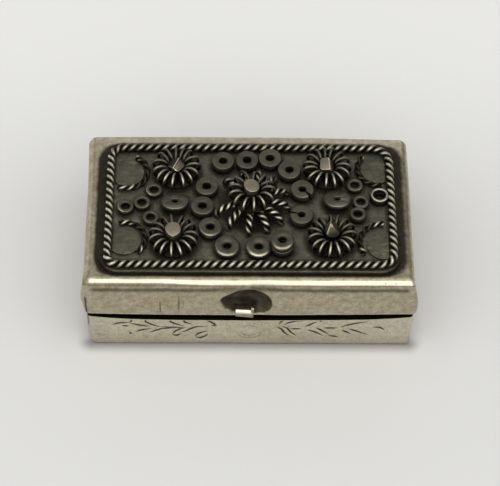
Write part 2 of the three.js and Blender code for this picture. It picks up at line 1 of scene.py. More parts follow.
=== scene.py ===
"""Silver pill box: a hinged lid with a thumb dish, an engraved base and an oxidised wirework plaque."""

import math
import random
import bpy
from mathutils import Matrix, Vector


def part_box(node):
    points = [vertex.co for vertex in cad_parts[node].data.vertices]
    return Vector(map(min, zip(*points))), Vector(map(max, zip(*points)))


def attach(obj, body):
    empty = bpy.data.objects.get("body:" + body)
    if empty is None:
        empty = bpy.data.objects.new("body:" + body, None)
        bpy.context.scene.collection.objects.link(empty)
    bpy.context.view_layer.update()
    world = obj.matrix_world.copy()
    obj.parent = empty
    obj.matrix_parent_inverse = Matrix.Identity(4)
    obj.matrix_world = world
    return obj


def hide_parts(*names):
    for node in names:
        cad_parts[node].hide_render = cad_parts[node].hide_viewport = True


bl_info = {
    "name": "Silver Pill Box",
    "version": (1, 0, 0),
    "blender": (4, 5, 0),
    "location": "View3D > Sidebar > Pill Box",
    "description": "Models and finishes a hinged silver pill box with a wirework plaque",
    "category": "Add Mesh",
}

from types import SimpleNamespace

import bmesh
import bpy
import numpy as np
from bpy.props import FloatProperty, FloatVectorProperty, IntProperty, PointerProperty
from mathutils import Matrix, Vector, noise

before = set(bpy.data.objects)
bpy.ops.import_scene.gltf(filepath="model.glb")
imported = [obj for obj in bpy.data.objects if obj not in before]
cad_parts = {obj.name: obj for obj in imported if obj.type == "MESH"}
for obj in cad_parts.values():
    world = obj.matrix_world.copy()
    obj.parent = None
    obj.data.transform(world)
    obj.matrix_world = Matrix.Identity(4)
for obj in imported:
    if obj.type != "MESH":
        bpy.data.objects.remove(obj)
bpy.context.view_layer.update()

# Lengths in the modelling code are millimetres. A finished mesh is brought to metres once, by finished().
MM = 0.001
UP = Vector((0, 0, 1))
RIGHTWARD = Vector((1, 0, 0))
BACKWARD = Vector((0, 1, 0))
CORNERS = ("back_left", "back_right", "front_left", "front_right")


def node_box(name):
    """The lowest and highest corner of a piece's solid, in millimetres."""
    low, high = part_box(name)
    return low / MM, high / MM


def node_seat(name):
    """The middle of a solid's underside."""
    low, high = node_box(name)
    return Vector(((low.x + high.x) / 2, (low.y + high.y) / 2, low.z))


def node_size(name):
    """Half the length, half the width and the whole height of a solid."""
    low, high = node_box(name)
    return (high.x - low.x) / 2, (high.y - low.y) / 2, high.z - low.z


# Settings


def length(label, description, millimetres):
    """A length property with its default in millimetres."""
    return FloatProperty(
        name=label, description=description, default=millimetres * MM, min=0, precision=5, unit="LENGTH"
    )


def tone(label, description, *colour):
    return FloatVectorProperty(
        name=label, description=description, default=colour, min=0, max=1, size=3, subtype="COLOR"
    )


def turn_of(label, description, degrees):
    return FloatProperty(name=label, description=description, default=math.radians(degrees), subtype="ANGLE")


def count_of(label, description, default):
    return IntProperty(name=label, description=description, default=default, min=3)


def setting_names(group):
    return [name for name in group.bl_rna.properties.keys() if name not in ("rna_type", "name")]


def in_millimetres(group):
    """The settings of a group by name, its lengths in millimetres."""
    values = {name: getattr(group, name) for name in setting_names(group)}
    for name in values:
        if group.bl_rna.properties[name].unit == "LENGTH":
            values[name] /= MM
    return SimpleNamespace(**values)


class PillBoxShellSizes(bpy.types.PropertyGroup):
    """Sizes of the lid and the base."""

    lid_wall: length("Lid wall", "Thickness of the lid's side walls", 0.58)
    base_wall: length("Base wall", "Thickness of the base's side walls", 0.7)
    top: length("Lid top", "Thickness of the lid's top and the base's floor", 0.8)
    front_round: length("Front round", "Radius of the lid's front edge", 1.35)
    side_round: length("Side round", "Radius of the lid's top edges at its ends", 1.2)
    back_round: length("Back round", "Radius of the lid's back edge", 0.35)
    right_draw: length("Right draw", "How far the lid's right end draws in towards the top", 0.4)
    lower_round: length("Lower round", "Radius of the base's lower edges", 0.12)
    left_round: length("Left lower round", "Radius of the base's lower left edge", 1.2)
    plan_corner: length("Corner", "Radius of the upright corners", 0.5)
    taper: length("Taper", "How far the base's ends draw in towards the floor", 0.1)
    dish_depth: length("Dish depth", "Depth of the thumb dish", 0.95)
    row: length("Row", "Distance between the rows of the front walls", 0.12)
    wave: length("Wave", "Unevenness of the hand-worked walls", 0.05)
    engraving: length("Engraving", "Depth of the engraved sprigs", 0.1)


class PillBoxWireSizes(bpy.types.PropertyGroup):
    """Sizes of the plaque's wirework."""

    rope: length("Border", "Diameter of the twisted border", 1.12)
    rope_pitch: length("Border pitch", "Length of one turn of the border", 2.28)
    stem: length("Stems", "Diameter of the twisted stems", 1.02)
    stem_pitch: length("Stem pitch", "Length of one turn of a stem", 2.0)
    arc: length("Corner arcs", "Diameter of the twisted corner arcs", 0.84)
    arc_pitch: length("Arc pitch", "Length of one turn of a corner arc", 2.3)
    loop_wire: length("Loop wire", "Wire of the rosette loops", 0.4)
    loops: count_of("Loops", "Loops in a rosette", 15)
    centre_loops: count_of("Centre loops", "Loops in the flower", 13)
    steps: count_of("Steps", "Steps in one turn of a twisted wire", 14)


class PillBoxFinishes(bpy.types.PropertyGroup):
    """Colours of the metal."""

    silver: tone("Lid silver", "Silver of the lid", 0.37, 0.315, 0.212)
    base: tone("Base silver", "Silver of the base", 0.54, 0.49, 0.38)
    # Also the colour of the painted highlights: the band along the lid's front round and the glints on the
    # wirework
    bright: tone("Burnished", "Where handling keeps the silver bright", 0.86, 0.82, 0.69)
    wire: tone("Wire", "Silver of the rubbed wirework", 0.335, 0.32, 0.26)
    olive: tone("Olive tarnish", "Thin greenish tarnish", 0.33, 0.315, 0.19)
    umber: tone("Brown tarnish", "Thin brown tarnish", 0.31, 0.235, 0.175)
    # Also the colour of painted shade and painted shadow: round the plaque, in the gap under the lid and
    # beside the wirework
    black: tone("Black patina", "Deep tarnish in grooves", 0.014, 0.0115, 0.008)
    plate: tone("Plaque", "Oxidised plate", 0.11, 0.105, 0.08)
    stud: tone("Stud", "Warm silver of the studs", 0.23, 0.20, 0.155)


class PillBoxStageSettings(bpy.types.PropertyGroup):
    """The stage: floor, light and camera."""

    floor: tone("Floor", "Pale paper", 0.555, 0.56, 0.575)
    # Painted light: the paper is painted paler behind the box
    floor_behind: tone("Floor behind", "The paper behind the box", 0.655, 0.66, 0.675)
    light: FloatProperty(name="Light", description="Brightness of the overhead softbox", default=1.55, min=0)
    distance: length("Distance", "From the camera to the box", 291.96)
    elevation: turn_of("Elevation", "Camera above the horizon", 54)
    azimuth: turn_of("Azimuth", "Camera to the right of front", -1.091)
    roll: turn_of("Roll", "Tilt of the camera", 1.123)


# Materials


class Value:
    """A shader socket carrying a number, for use in Python arithmetic."""

    def __init__(self, finish, socket):
        self.finish = finish
        self.socket = socket

    def __add__(self, other):
        return self.finish.math("ADD", self, other)

    def __sub__(self, other):
        return self.finish.math("SUBTRACT", self, other)

    def __mul__(self, other):
        return self.finish.math("MULTIPLY", self, other)

    def __rsub__(self, other):
        return self.finish.math("SUBTRACT", other, self)

    __radd__ = __add__
    __rmul__ = __mul__

    def over(self, other):
        return self.finish.math("MAXIMUM", self, other)

    def size(self):
        return self.finish.math("ABSOLUTE", self)

    def root(self):
        return self.finish.math("POWER", self, 0.5)

    def rising(self, start, end):
        """Nought up to start, one from end on, and smooth between."""
        inputs = {"Value": self, "From Min": start, "From Max": end}
        ramp = self.finish.node("MapRange", inputs, interpolation_type="SMOOTHSTEP")
        return Value(self.finish, ramp.outputs["Result"])


class Finish:
    """A material, or the world, while its nodes are being added."""

    def __init__(self, owner):
        owner.use_nodes = True
        self.owner = owner
        self.tree = owner.node_tree
        self.tree.nodes.clear()
        self.places = self.node("TexCoord").outputs

    def node(self, kind, inputs=None, **settings):
        made = self.tree.nodes.new("ShaderNode" + kind)
        for name, value in settings.items():
            setattr(made, name, value)
        for name, value in (inputs or {}).items():
            if isinstance(value, Value):
                value = value.socket
            if isinstance(value, bpy.types.NodeSocket):
                self.tree.links.new(value, made.inputs[name])
            else:
                made.inputs[name].default_value = value
        return made

    def math(self, operation, first, second=0.0):
        return Value(self, self.node("Math", {0: first, 1: second}, operation=operation).outputs[0])

    def layered(self, colour, *coats):
        """A colour under coats of others, each given as its share and its colour."""
        for share, coat in coats:
            inputs = {0: share, 6: opaque(colour), 7: opaque(coat)}
            colour = self.node("Mix", inputs, data_type="RGBA").outputs[2]
        return colour

    def attribute(self, name):
        return Value(self, self.node("Attribute", attribute_name=name).outputs["Fac"])

    def along(self, axis):
        """The place along an axis, in millimetres."""
        made = self.node("SeparateXYZ", {0: self.places["Object"]})
        return Value(self, made.outputs[axis]) * (1 / MM)

    def mottle(self, millimetres, detail=2.0, stretch=(1, 1, 1), offset=0.0):
        """Noise whose patches are about that many millimetres across."""
        inputs = {"Vector": self.places["Object"], "Scale": stretch, "Location": (offset, offset, offset)}
        laid = self.node("Mapping", inputs).outputs[0]
        inputs = {"Vector": laid, "Scale": 1 / (millimetres * MM), "Detail": detail, "Roughness": 0.6}
        return Value(self, self.node("TexNoise", inputs).outputs[0])

    def metal(self, colour, roughness, height, depth):
        """Closes the material as metal, with a bump whose depth is in millimetres."""
        relief = self.node("Bump", {"Height": height, "Strength": 1.0, "Distance": depth * MM}).outputs[0]
        inputs = {"Base Color": colour, "Metallic": 1.0, "Roughness": roughness, "Normal": relief}
        self.surface("BsdfPrincipled", inputs)

    def surface(self, kind, inputs, output="OutputMaterial"):
        self.node(output, {"Surface": self.node(kind, inputs).outputs[0]})


def opaque(colour):
    """A colour with its alpha, where it isn't a socket already."""
    return colour if isinstance(colour, bpy.types.NodeSocket) else (*colour, 1.0)


def distance_outside(finish, node, radius):
    """Millimetres from a point to a piece's outline seen from above, with that corner radius."""
    middle = node_seat(node)
    half_x, half_y, _ = node_size(node)
    across = ((finish.along("X") - middle.x).size() - (half_x - radius)).over(0.0)
    deep = ((finish.along("Y") - middle.y).size() - (half_y - radius)).over(0.0)
    return (across * across + deep * deep).root() - radius


def plaque_shadow(finish):
    """How near a point is to the plaque's outline: one under the plaque, nought well outside it."""
    low, high = node_box("plaque_plate")
    ragged = finish.mottle(1.4, 3.0) * 0.7 - 0.35
    on_top = finish.along("Z").rising(low.z - 0.9, low.z - 0.1)
    in_front = 1 - finish.along("Y").rising(low.y - 0.5, low.y + 0.3)
    on_left = 1 - finish.along("X").rising(low.x - 0.5, low.x + 0.3)
    at_back = finish.along("Y").rising(high.y - 0.3, high.y + 0.5)
    narrower = 1 + in_front * 0.9 + on_left * 0.5 + at_back * 0.7
    outside = distance_outside(finish, "plaque_plate", 3.0) * narrower
    return (1 - (outside + ragged).rising(0.3, 1.25)) * on_top


def shell_silver(finish, colours, colour, shadow):
    """Old polished silver: burnished edges and painted highlights, thin olive and brown tarnish, black in the
    cuts, and black painted shade and painted shadow.
    """
    cut = finish.attribute("cut")
    fine = finish.mottle(0.9, 4.0, offset=0.4)
    brushed = finish.mottle(1.0, 3.0, stretch=(0.12, 1, 1.4), offset=0.9)
    specks = finish.mottle(0.5, 2.0, offset=0.2).rising(0.66, 0.74)
    body = finish.layered(
        colour,
        (finish.mottle(5.0, 3.0).rising(0.45, 0.75) * 0.5, colours.olive),
        (finish.mottle(3.4, 3.0, offset=0.7).rising(0.56, 0.8) * 0.45, colours.umber),
        (fine.rising(0.3, 0.75) * 0.34, colours.bright),
        (specks * 0.35, colours.umber),
        (finish.mottle(0.34, 3.0, offset=0.6).rising(0.48, 0.72) * 0.32, colours.black),
        # The last three coats: wear with painted highlights, the plaque's painted shadow, and patina with
        # painted shade
        (finish.attribute("wear"), colours.bright),
        (shadow, colours.black),
        (cut, colours.black),
    )
    rough = 0.24 + fine * 0.12 + brushed * 0.10 + cut * 0.3 + specks * 0.15
    finish.metal(body, rough, fine * 0.5 + brushed * 0.35 - specks * 0.4, 0.012)


def lid_silver(finish, colours):
    shell_silver(finish, colours, colours.silver, plaque_shadow(finish) * 0.93)


def base_silver(finish, colours):
    shell_silver(finish, colours, colours.base, 0.0)


def worn_silver(finish, colours):
    """Black in the hollows of the wirework, grey on its flanks, and bright on what stands out: rubbed silver
    with painted highlights, and painted shade on the sides turned away.
    """
    wear = finish.attribute("wear")
    patch = finish.mottle(1.3, 3.0)
    grime = finish.mottle(0.35, 3.0, offset=0.3)
    rubbed_and_lit = wear + patch * 0.26 - 0.13
    brightest = wear + grime * 0.2 + patch * 0.24 - 0.22
    body = finish.layered(
        colours.black,
        (rubbed_and_lit.rising(0.08, 0.42), colours.plate),
        (rubbed_and_lit.rising(0.45, 0.86), colours.wire),
        # A painted highlight on the brightest points
        (brightest.rising(0.86, 1.06) * 0.85, colours.bright),
    )
    finish.metal(body, 0.50 - rubbed_and_lit.rising(0.3, 0.9) * 0.24 + grime * 0.14, grime, 0.012)


def dark_silver(finish, colours):
    """The dark plate and discs, scuffed grey where fingers reach, with a painted highlight along the plaque's
    edge and black patina with painted shade under the border and beside the ornaments.
    """
    wear = finish.attribute("wear")
    grain = finish.mottle(0.3, 4.0, offset=0.5)
    scuff = finish.mottle(0.8, 3.0, stretch=(0.5, 1, 1), offset=0.1)
    body = finish.layered(
        colours.plate,
        (finish.mottle(2.2, 4.0).rising(0.35, 0.7) * 0.2, colours.black),
        (finish.mottle(0.7, 3.0, offset=0.8).rising(0.42, 0.72) * 0.42, colours.black),
        (scuff.rising(0.5, 0.8) * 0.4, colours.olive),
        (wear.rising(0.2, 1.0), colours.wire),
        (finish.attribute("cut"), colours.black),
    )
    finish.metal(body, 0.46 + grain * 0.2 - wear * 0.12, grain + scuff, 0.02)


def stud_silver(finish, colours):
    """Warm, slightly pink silver of the faceted studs, darker towards their feet, with painted highlights
    along their ridges and rims and painted shade on some facets.
    """
    wear = finish.attribute("wear")
    patch = finish.mottle(0.7, 3.0)
    body = finish.layered(
        colours.stud,
        (patch.rising(0.4, 0.75) * 0.4, colours.olive),
        # Black where the stud is painted darker: towards its feet and on the shaded facets
        (1 - wear.rising(0.05, 0.5), colours.black),
        (wear.rising(0.72, 1.0), colours.bright),
    )
    finish.metal(body, 0.36 + patch * 0.1, patch, 0.015)


def paper(finish, stage):
    """Matt pale paper under the box, with painted light making it paler behind the box and a painted shadow
    right beside it.
    """
    away = distance_outside(finish, "base_tray", 0.5)
    front = node_box("base_tray")[0].y
    in_front = 1 - finish.along("Y").rising(front - 0.3, front + 1.5)
    contact_shadow = (1 - away.rising(-0.6, 2.1)) * (0.2 + in_front * 0.56)
    body = finish.layered(
        stage.floor,
        (finish.mottle(0.8, 2.0) * 0.04, (0.6, 0.6, 0.6)),
        # Painted light: the paper is painted paler behind the box
        (finish.along("Y").rising(-4, 50), stage.floor_behind),
        # Painted shadow beside the box, strongest in front, with a wide faint one all round
        (contact_shadow + (1 - away.rising(-1.0, 9.0)) * 0.04, (0.03, 0.025, 0.02)),
    )
    finish.surface("BsdfPrincipled", {"Base Color": body, "Roughness": 0.9})


def finish_named(maker, settings):
    """The material that a maker gives, made the first time that a piece asks for it."""
    name = "pill_box_" + maker.__name__
    if name not in bpy.data.materials:
        maker(Finish(bpy.data.materials.new(name)), settings)
    return bpy.data.materials[name]


# Mesh helpers


def finished(bm, context, node, maker, body="lid", sharp=40):
    """Brings a mesh to metres, gives it its finish and lets it ride on its body in place of its solid."""
    # One layer holds patina together with painted shade, the other wear together with painted highlights
    for layer in ("cut", "wear"):
        if layer not in bm.verts.layers.float:
            bm.verts.layers.float.new(layer)
    bmesh.ops.scale(bm, vec=(MM, MM, MM), verts=bm.verts)
    mesh = bpy.data.meshes.new(node + "_piece")
    bm.to_mesh(mesh)
    bm.free()
    mesh.shade_smooth()
    mesh.set_sharp_from_angle(angle=math.radians(sharp))
    mesh.materials.append(finish_named(maker, context.scene.pill_box_finishes))
    piece = bpy.data.objects.new(node + "_piece", mesh)
    context.scene.collection.objects.link(piece)
    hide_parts(node)
    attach(piece, body)


def paint(bm, **layers):
    """Writes one number for each point of a layer: one darkens, for patina and painted shade, and one
    brightens, for wear and painted highlights.
    """
    for name, amounts in layers.items():
        layer = bm.verts.layers.float.get(name) or bm.verts.layers.float.new(name)
        amounts = np.broadcast_to(np.clip(amounts, 0, 1), len(bm.verts))
        for vert, amount in zip(bm.verts, amounts):
            vert[layer] = float(amount)


def places_of(verts):
    return np.array([vert.co[:] for vert in verts])


def move_to(bm, places):
    for vert, place in zip(bm.verts, places):
        vert.co = place


def rising(values, start, end):
    """Nought up to start, one from end on, and smooth between."""
    share = np.clip((values - start) / (end - start), 0, 1)
    return share * share * (3 - 2 * share)


def falling(values, start, end):
    return 1 - rising(values, start, end)


def most(first, *others):
    """The greatest of several fields at each point."""
    for other in others:
        first = np.maximum(first, other)
    return first


def uneven(bm, size, amount):
    """Pushes each point a little by smooth noise, as hand work leaves it."""
    for vert in bm.verts:
        vert.co += noise.noise_vector(vert.co / size) * amount


def curve_through(points, x):
    """A smooth curve through a few points, at each x."""
    at, value = np.array(points, float).T
    slope = np.gradient(value, at)
    index = np.clip(np.searchsorted(at, x) - 1, 0, len(at) - 2)
    span = at[index + 1] - at[index]
    t = np.clip((x - at[index]) / span, 0, 1)
    first = (1 + 2 * t) * (1 - t) ** 2 * value[index] + t * (1 - t) ** 2 * span * slope[index]
    second = t * t * (3 - 2 * t) * value[index + 1] - t * t * (1 - t) * span * slope[index + 1]
    return first + second


def segment_distance(x, z, start, end):
    """Distance of points to a segment, and how far along it the nearest point lies."""
    run = np.array(end, float) - np.array(start, float)
    along = ((x - start[0]) * run[0] + (z - start[1]) * run[1]) / max(run @ run, 1e-9)
    along = np.clip(along, 0, 1)
    return np.hypot(x - start[0] - along * run[0], z - start[1] - along * run[1]), along


def stroke_field(x, z, strokes, half_width):
    """How deep each point lies in the strokes: one on a stroke's line, nought at its sides."""
    field = np.zeros(len(x))
    for stroke in strokes:
        count = len(stroke) - 1
        for index in range(count):
            distance, along = segment_distance(x, z, stroke[index], stroke[index + 1])
            swell = np.sin(np.pi * (index + along) / count)
            width = half_width * (0.45 + 0.55 * swell**0.6)
            field = np.maximum(field, np.clip(1 - distance / width, 0, 1) * (0.6 + 0.4 * swell))
    return field


def outline_depth(x, z, outline):
    """Signed distance to a closed outline, positive inside."""
    distance = np.full(len(x), np.inf)
    inside = np.zeros(len(x), bool)
    for (x0, z0), (x1, z1) in zip(outline, outline[1:] + outline[:1]):
        distance = np.minimum(distance, segment_distance(x, z, (x0, z0), (x1, z1))[0])
        crosses = (z0 > z) != (z1 > z)
        inside ^= crosses & (x < (x1 - x0) * (z - z0) / (z1 - z0) + x0)
    return np.where(inside, distance, -distance)


def rounded_face(bm, level, radius, corner_steps, cuts):
    """A flat face with rounded corners. cuts gives the points on its front, back and side edges."""
    half_x, front, back, height = level
    spots = ((-half_x, front), (half_x, front), (half_x, back), (-half_x, back))
    corners = [bm.verts.new((*spot, height)) for spot in spots]
    bm.faces.new(corners)
    bmesh.ops.bevel(
        bm, geom=corners, offset=radius, segments=corner_steps, affect="VERTICES", profile=0.5, material=-1
    )
    for edge in sorted(bm.edges, key=lambda edge: edge.calc_length())[-4:]:
        middle = (edge.verts[0].co + edge.verts[1].co) / 2
        side = 2 if abs(middle.x) > half_x - radius else int(middle.y > (front + back) / 2)
        if cuts[side]:
            bmesh.ops.subdivide_edges(bm, edges=[edge], cuts=cuts[side])
    return list(bm.edges)


def verts_in(parts):
    return [part for part in parts if isinstance(part, bmesh.types.BMVert)]


def open_edges_in(parts):
    return [part for part in parts if isinstance(part, bmesh.types.BMEdge) and part.is_boundary]


def quarter(steps, first=0):
    """The steps of a quarter turn, each as one less its cosine and one less its sine."""
    turns = [math.pi / 2 * step / steps for step in range(first, steps + 1)]
    return [(1 - math.cos(turn), 1 - math.sin(turn)) for turn in turns]


def even(*pairs):
    """Levels that lie equally far in on all sides, from pairs of inset and height."""
    return [(inset, inset, inset, height) for inset, height in pairs]


def shell(half_x, front, back, insets, radius, corner_steps, cuts):
    """A closed skin within an outline, drawn on from level to level.

    A level says how far in it lies at the ends, the front and the back, and its height.
    """
    levels = [(half_x - side, front + ahead, back - behind, height) for side, ahead, behind, height in insets]
    bm = bmesh.new()
    loop = rounded_face(bm, levels[0], radius, corner_steps, cuts)
    for here, there in zip(levels, levels[1:]):
        made = bmesh.ops.extrude_edge_only(bm, edges=loop)["geom"]
        loop = open_edges_in(made)
        stretch = (there[2] - there[1]) / (here[2] - here[1])
        shift = (there[2] + there[1]) / 2 - stretch * (here[2] + here[1]) / 2
        bmesh.ops.scale(bm, vec=(there[0] / here[0], stretch, 1), verts=verts_in(made))
        bmesh.ops.translate(bm, vec=(0, shift, there[3] - here[3]), verts=verts_in(made))
    bmesh.ops.edgeloop_fill(bm, edges=loop)
    bmesh.ops.recalc_face_normals(bm, faces=bm.faces)
    return bm


def spun(bm, parts, axis, steps, angle=360):
    """Turns an outline about an axis through the origin, and joins the ends of a whole turn."""
    options = {"cent": (0, 0, 0), "axis": axis, "angle": math.radians(angle), "steps": steps}
    return bmesh.ops.spin(bm, geom=parts, use_merge=angle == 360, **options)


def spun_ring(bm, profile, steps, angle=360):
    """Turns a closed profile of (radius, height) about the upright axis."""
    verts = [bm.verts.new((radius, 0, height)) for radius, height in profile]
    edges = [bm.edges.new((verts[i - 1], verts[i])) for i in range(len(verts))]
    made = spun(bm, verts + edges, UP, steps, angle)
    if angle != 360:
        bmesh.ops.edgeloop_fill(bm, edges=edges)
        bmesh.ops.edgeloop_fill(bm, edges=open_edges_in(made["geom_last"]))
    bmesh.ops.recalc_face_normals(bm, faces=bm.faces)


def rounded_profile(inner, outer, low, high, radius, steps=4):
    """A rectangle of radius and height with rounded corners, as a closed list."""
    left, right = inner + radius, outer - radius
    spots = ((right, low + radius), (right, high - radius), (left, high - radius), (left, low + radius))
    profile = []
    for corner, (r, z) in enumerate(spots):
        for step in range(steps + 1):
            turn = math.radians(90 * (corner - 1 + step / steps))
            profile.append((r + radius * math.cos(turn), z + radius * math.sin(turn)))
    return profile


def softened_copy(node, width, segments=3):
    """A merged copy of a solid with its sharp edges rounded, in millimetres."""
    bm = bmesh.new()
    bm.from_mesh(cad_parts[node].data)
    bmesh.ops.scale(bm, vec=(1 / MM, 1 / MM, 1 / MM), verts=bm.verts)
    bmesh.ops.remove_doubles(bm, verts=bm.verts, dist=0.002)
    bmesh.ops.dissolve_limit(bm, angle_limit=math.radians(2), verts=bm.verts, edges=bm.edges)
    round_off(bm, width, segments)
    return bm


def round_off(bm, width, segments=3, angle=30):
    sharp = [edge for edge in bm.edges if edge.is_manifold and edge.calc_face_angle() > math.radians(angle)]
    options = {"affect": "EDGES", "profile": 0.5, "material": -1, "clamp_overlap": True}
    bmesh.ops.bevel(bm, geom=sharp, offset=width, segments=segments, **options)


def cut_through(bm, place, normal, **options):
    """Cuts all the faces that a plane crosses."""
    parts = [*bm.verts, *bm.edges, *bm.faces]
    return bmesh.ops.bisect_plane(bm, geom=parts, plane_co=place, plane_no=normal, **options)


def add_wire(bm, points, diameter):
    """Round wire along points, added to a mesh."""
    curve = bpy.data.curves.new("wire", "CURVE")
    curve.dimensions = "3D"
    curve.bevel_depth = diameter / 2
    curve.bevel_resolution = 3
    curve.use_fill_caps = True
    spline = curve.splines.new("POLY")
    spline.points.add(len(points) - 1)
    for point, place in zip(spline.points, points):
        point.co = (*place, 1)
    holder = bpy.data.objects.new("wire", curve)
    mesh = bpy.data.meshes.new_from_object(holder)
    bm.from_mesh(mesh)
    bpy.data.objects.remove(holder)
    bpy.data.curves.remove(curve)
    bpy.data.meshes.remove(mesh)


def evenly(points, step):
    """The same route with its points a step apart."""
    points = np.array(points, float)
    run = np.concatenate(([0], np.cumsum(np.linalg.norm(np.diff(points, axis=0), axis=1))))
    count = max(4, round(run[-1] / step))
    at = np.linspace(0, run[-1], count + 1)
    return np.stack([np.interp(at, run, points[:, axis]) for axis in range(3)], axis=1)


def twisted_wire(bm, route, plane_normal, diameter, pitch, steps, phase=0.0):
    """Two strands laid round each other along a route that lies in one plane. Returns the route's points."""
    strand = diameter * 0.54
    offset = (diameter - strand) / 2
    points = evenly(route, pitch / steps)
    tangents = np.gradient(points, axis=0)
    tangents /= np.linalg.norm(tangents, axis=1)[:, None]
    normal = np.array(plane_normal, float)
    side = np.cross(normal, tangents)
    side /= np.linalg.norm(side, axis=1)[:, None]
    turn = phase - 2 * math.pi * np.arange(len(points)) / steps
    for half in (0, math.pi):
        across = offset * np.cos(turn + half)
        along = offset * np.sin(turn + half)
        add_wire(bm, points + across[:, None] * side + along[:, None] * normal, strand)
    return points


def stand_out(places, axis, diameter):
    """How far points stand out of a twisted wire: nought at its middle, one at its outside."""
    nearest = np.concatenate(
        [
            np.linalg.norm(block[:, None, :] - axis[None, :, :], axis=2).min(1)
            for block in np.array_split(places, max(1, len(places) // 4000))
        ]
    )
    return rising(nearest / (diameter / 2), 0.74, 1.04)


def draw_in(radius, top, height):
    """How far a rounded edge under that top has drawn in at a height."""
    climb = np.clip(height - (top - radius), 0, None)
    return radius - np.sqrt(np.clip(radius**2 - climb**2, 0, None))


def arc(centre, radius, start, end, count):
    """Points along an arc between two directions in degrees."""
    angles = np.radians(np.linspace(start, end, count + 1))
    return [(centre[0] + radius * math.cos(a), centre[1] + radius * math.sin(a)) for a in angles]


def noise_at(x, y, z):
    """Smooth noise from about minus one to one at each place."""
    return np.array([noise.noise(place) for place in np.broadcast(x, y, z)])


def verts_from(bm, start):
    """The points that a mesh has got since it had that many."""
    bm.verts.ensure_lookup_table()
    return bm.verts[start:]


def turned_by(degrees):
    return Matrix.Rotation(math.radians(degrees), 3, "Z")


# The lid and the base

# How far in from the walls the rings lie that the inner floors are made of
FLOOR_INSETS = (2.2, 3.4, 5.0, 7.0, 9.0, 11.0)

# Height of the lid's lower front edge along its length
LID_EDGE = (
    (-22.5, 7.5), (-18.9, 7.34), (-13.9, 7.17), (-6.9, 7.13),
    (0.1, 7.16), (10.1, 7.3), (18.1, 7.44), (22.5, 7.5),
)

# Outline of the thumb dish, length and height
DISH = (
    (-4.15, 10.5), (-3.7, 11.3), (-2.7, 12.1), (-1.6, 12.9), (-0.4, 13.17), (0.6, 13.07),
    (1.55, 12.5), (2.4, 11.65), (2.87, 10.6), (3.0, 9.4), (2.85, 8.5), (2.45, 7.85),
    (1.85, 7.45), (0.6, 7.3), (-0.9, 7.35), (-2.35, 7.75), (-3.4, 8.5), (-3.8, 9.4),
)

# Scratches left on the lid's front by handling: from, to, half width, depth
LID_SCRATCHES = (
    ((-12.25, 7.6), (-12.2, 10.9), 0.14, 0.07), ((-11.35, 7.9), (-11.3, 11.1), 0.16, 0.035),
    ((-9.75, 7.5), (-9.7, 11.7), 0.13, 0.09), ((-9.15, 8.0), (-9.05, 10.7), 0.12, 0.05),
    ((-7.9, 8.6), (-7.8, 11.0), 0.14, 0.02), ((-6.8, 8.4), (-6.7, 11.0), 0.12, 0.02),
    ((-10.6, 8.4), (-10.55, 10.8), 0.12, 0.02), ((10.3, 8.0), (10.7, 11.6), 0.12, 0.02),
    ((11.3, 10.6), (13.1, 8.2), 0.12, 0.02), ((9.1, 9.4), (12.3, 12.2), 0.12, 0.015),
    ((18.3, 12.4), (19.7, 10.6), 0.14, 0.02),
)

# Small nicks on the lid's front: place, radius, depth
LID_NICKS = (
    (-11.9, 14.3, 0.22, 0.07), (0.3, 14.35, 0.15, 0.03), (12.2, 14.3, 0.16, 0.04), (18.1, 14.2, 0.2, 0.06),
    (19.5, 14.15, 0.18, 0.06), (-16.5, 11.4, 0.2, 0.04), (-16.9, 9.4, 0.16, 0.03), (-5.1, 11.5, 0.2, 0.035),
)

# Height of the base's upper front edge along its length
BASE_EDGE = (
    (-22.34, 6.78), (-19.9, 6.4), (-16.9, 6.08), (-10.9, 5.8), (-3.9, 5.76), (5.1, 5.86), (12.1, 5.95),
    (18.1, 6.22), (22.34, 6.72),
)

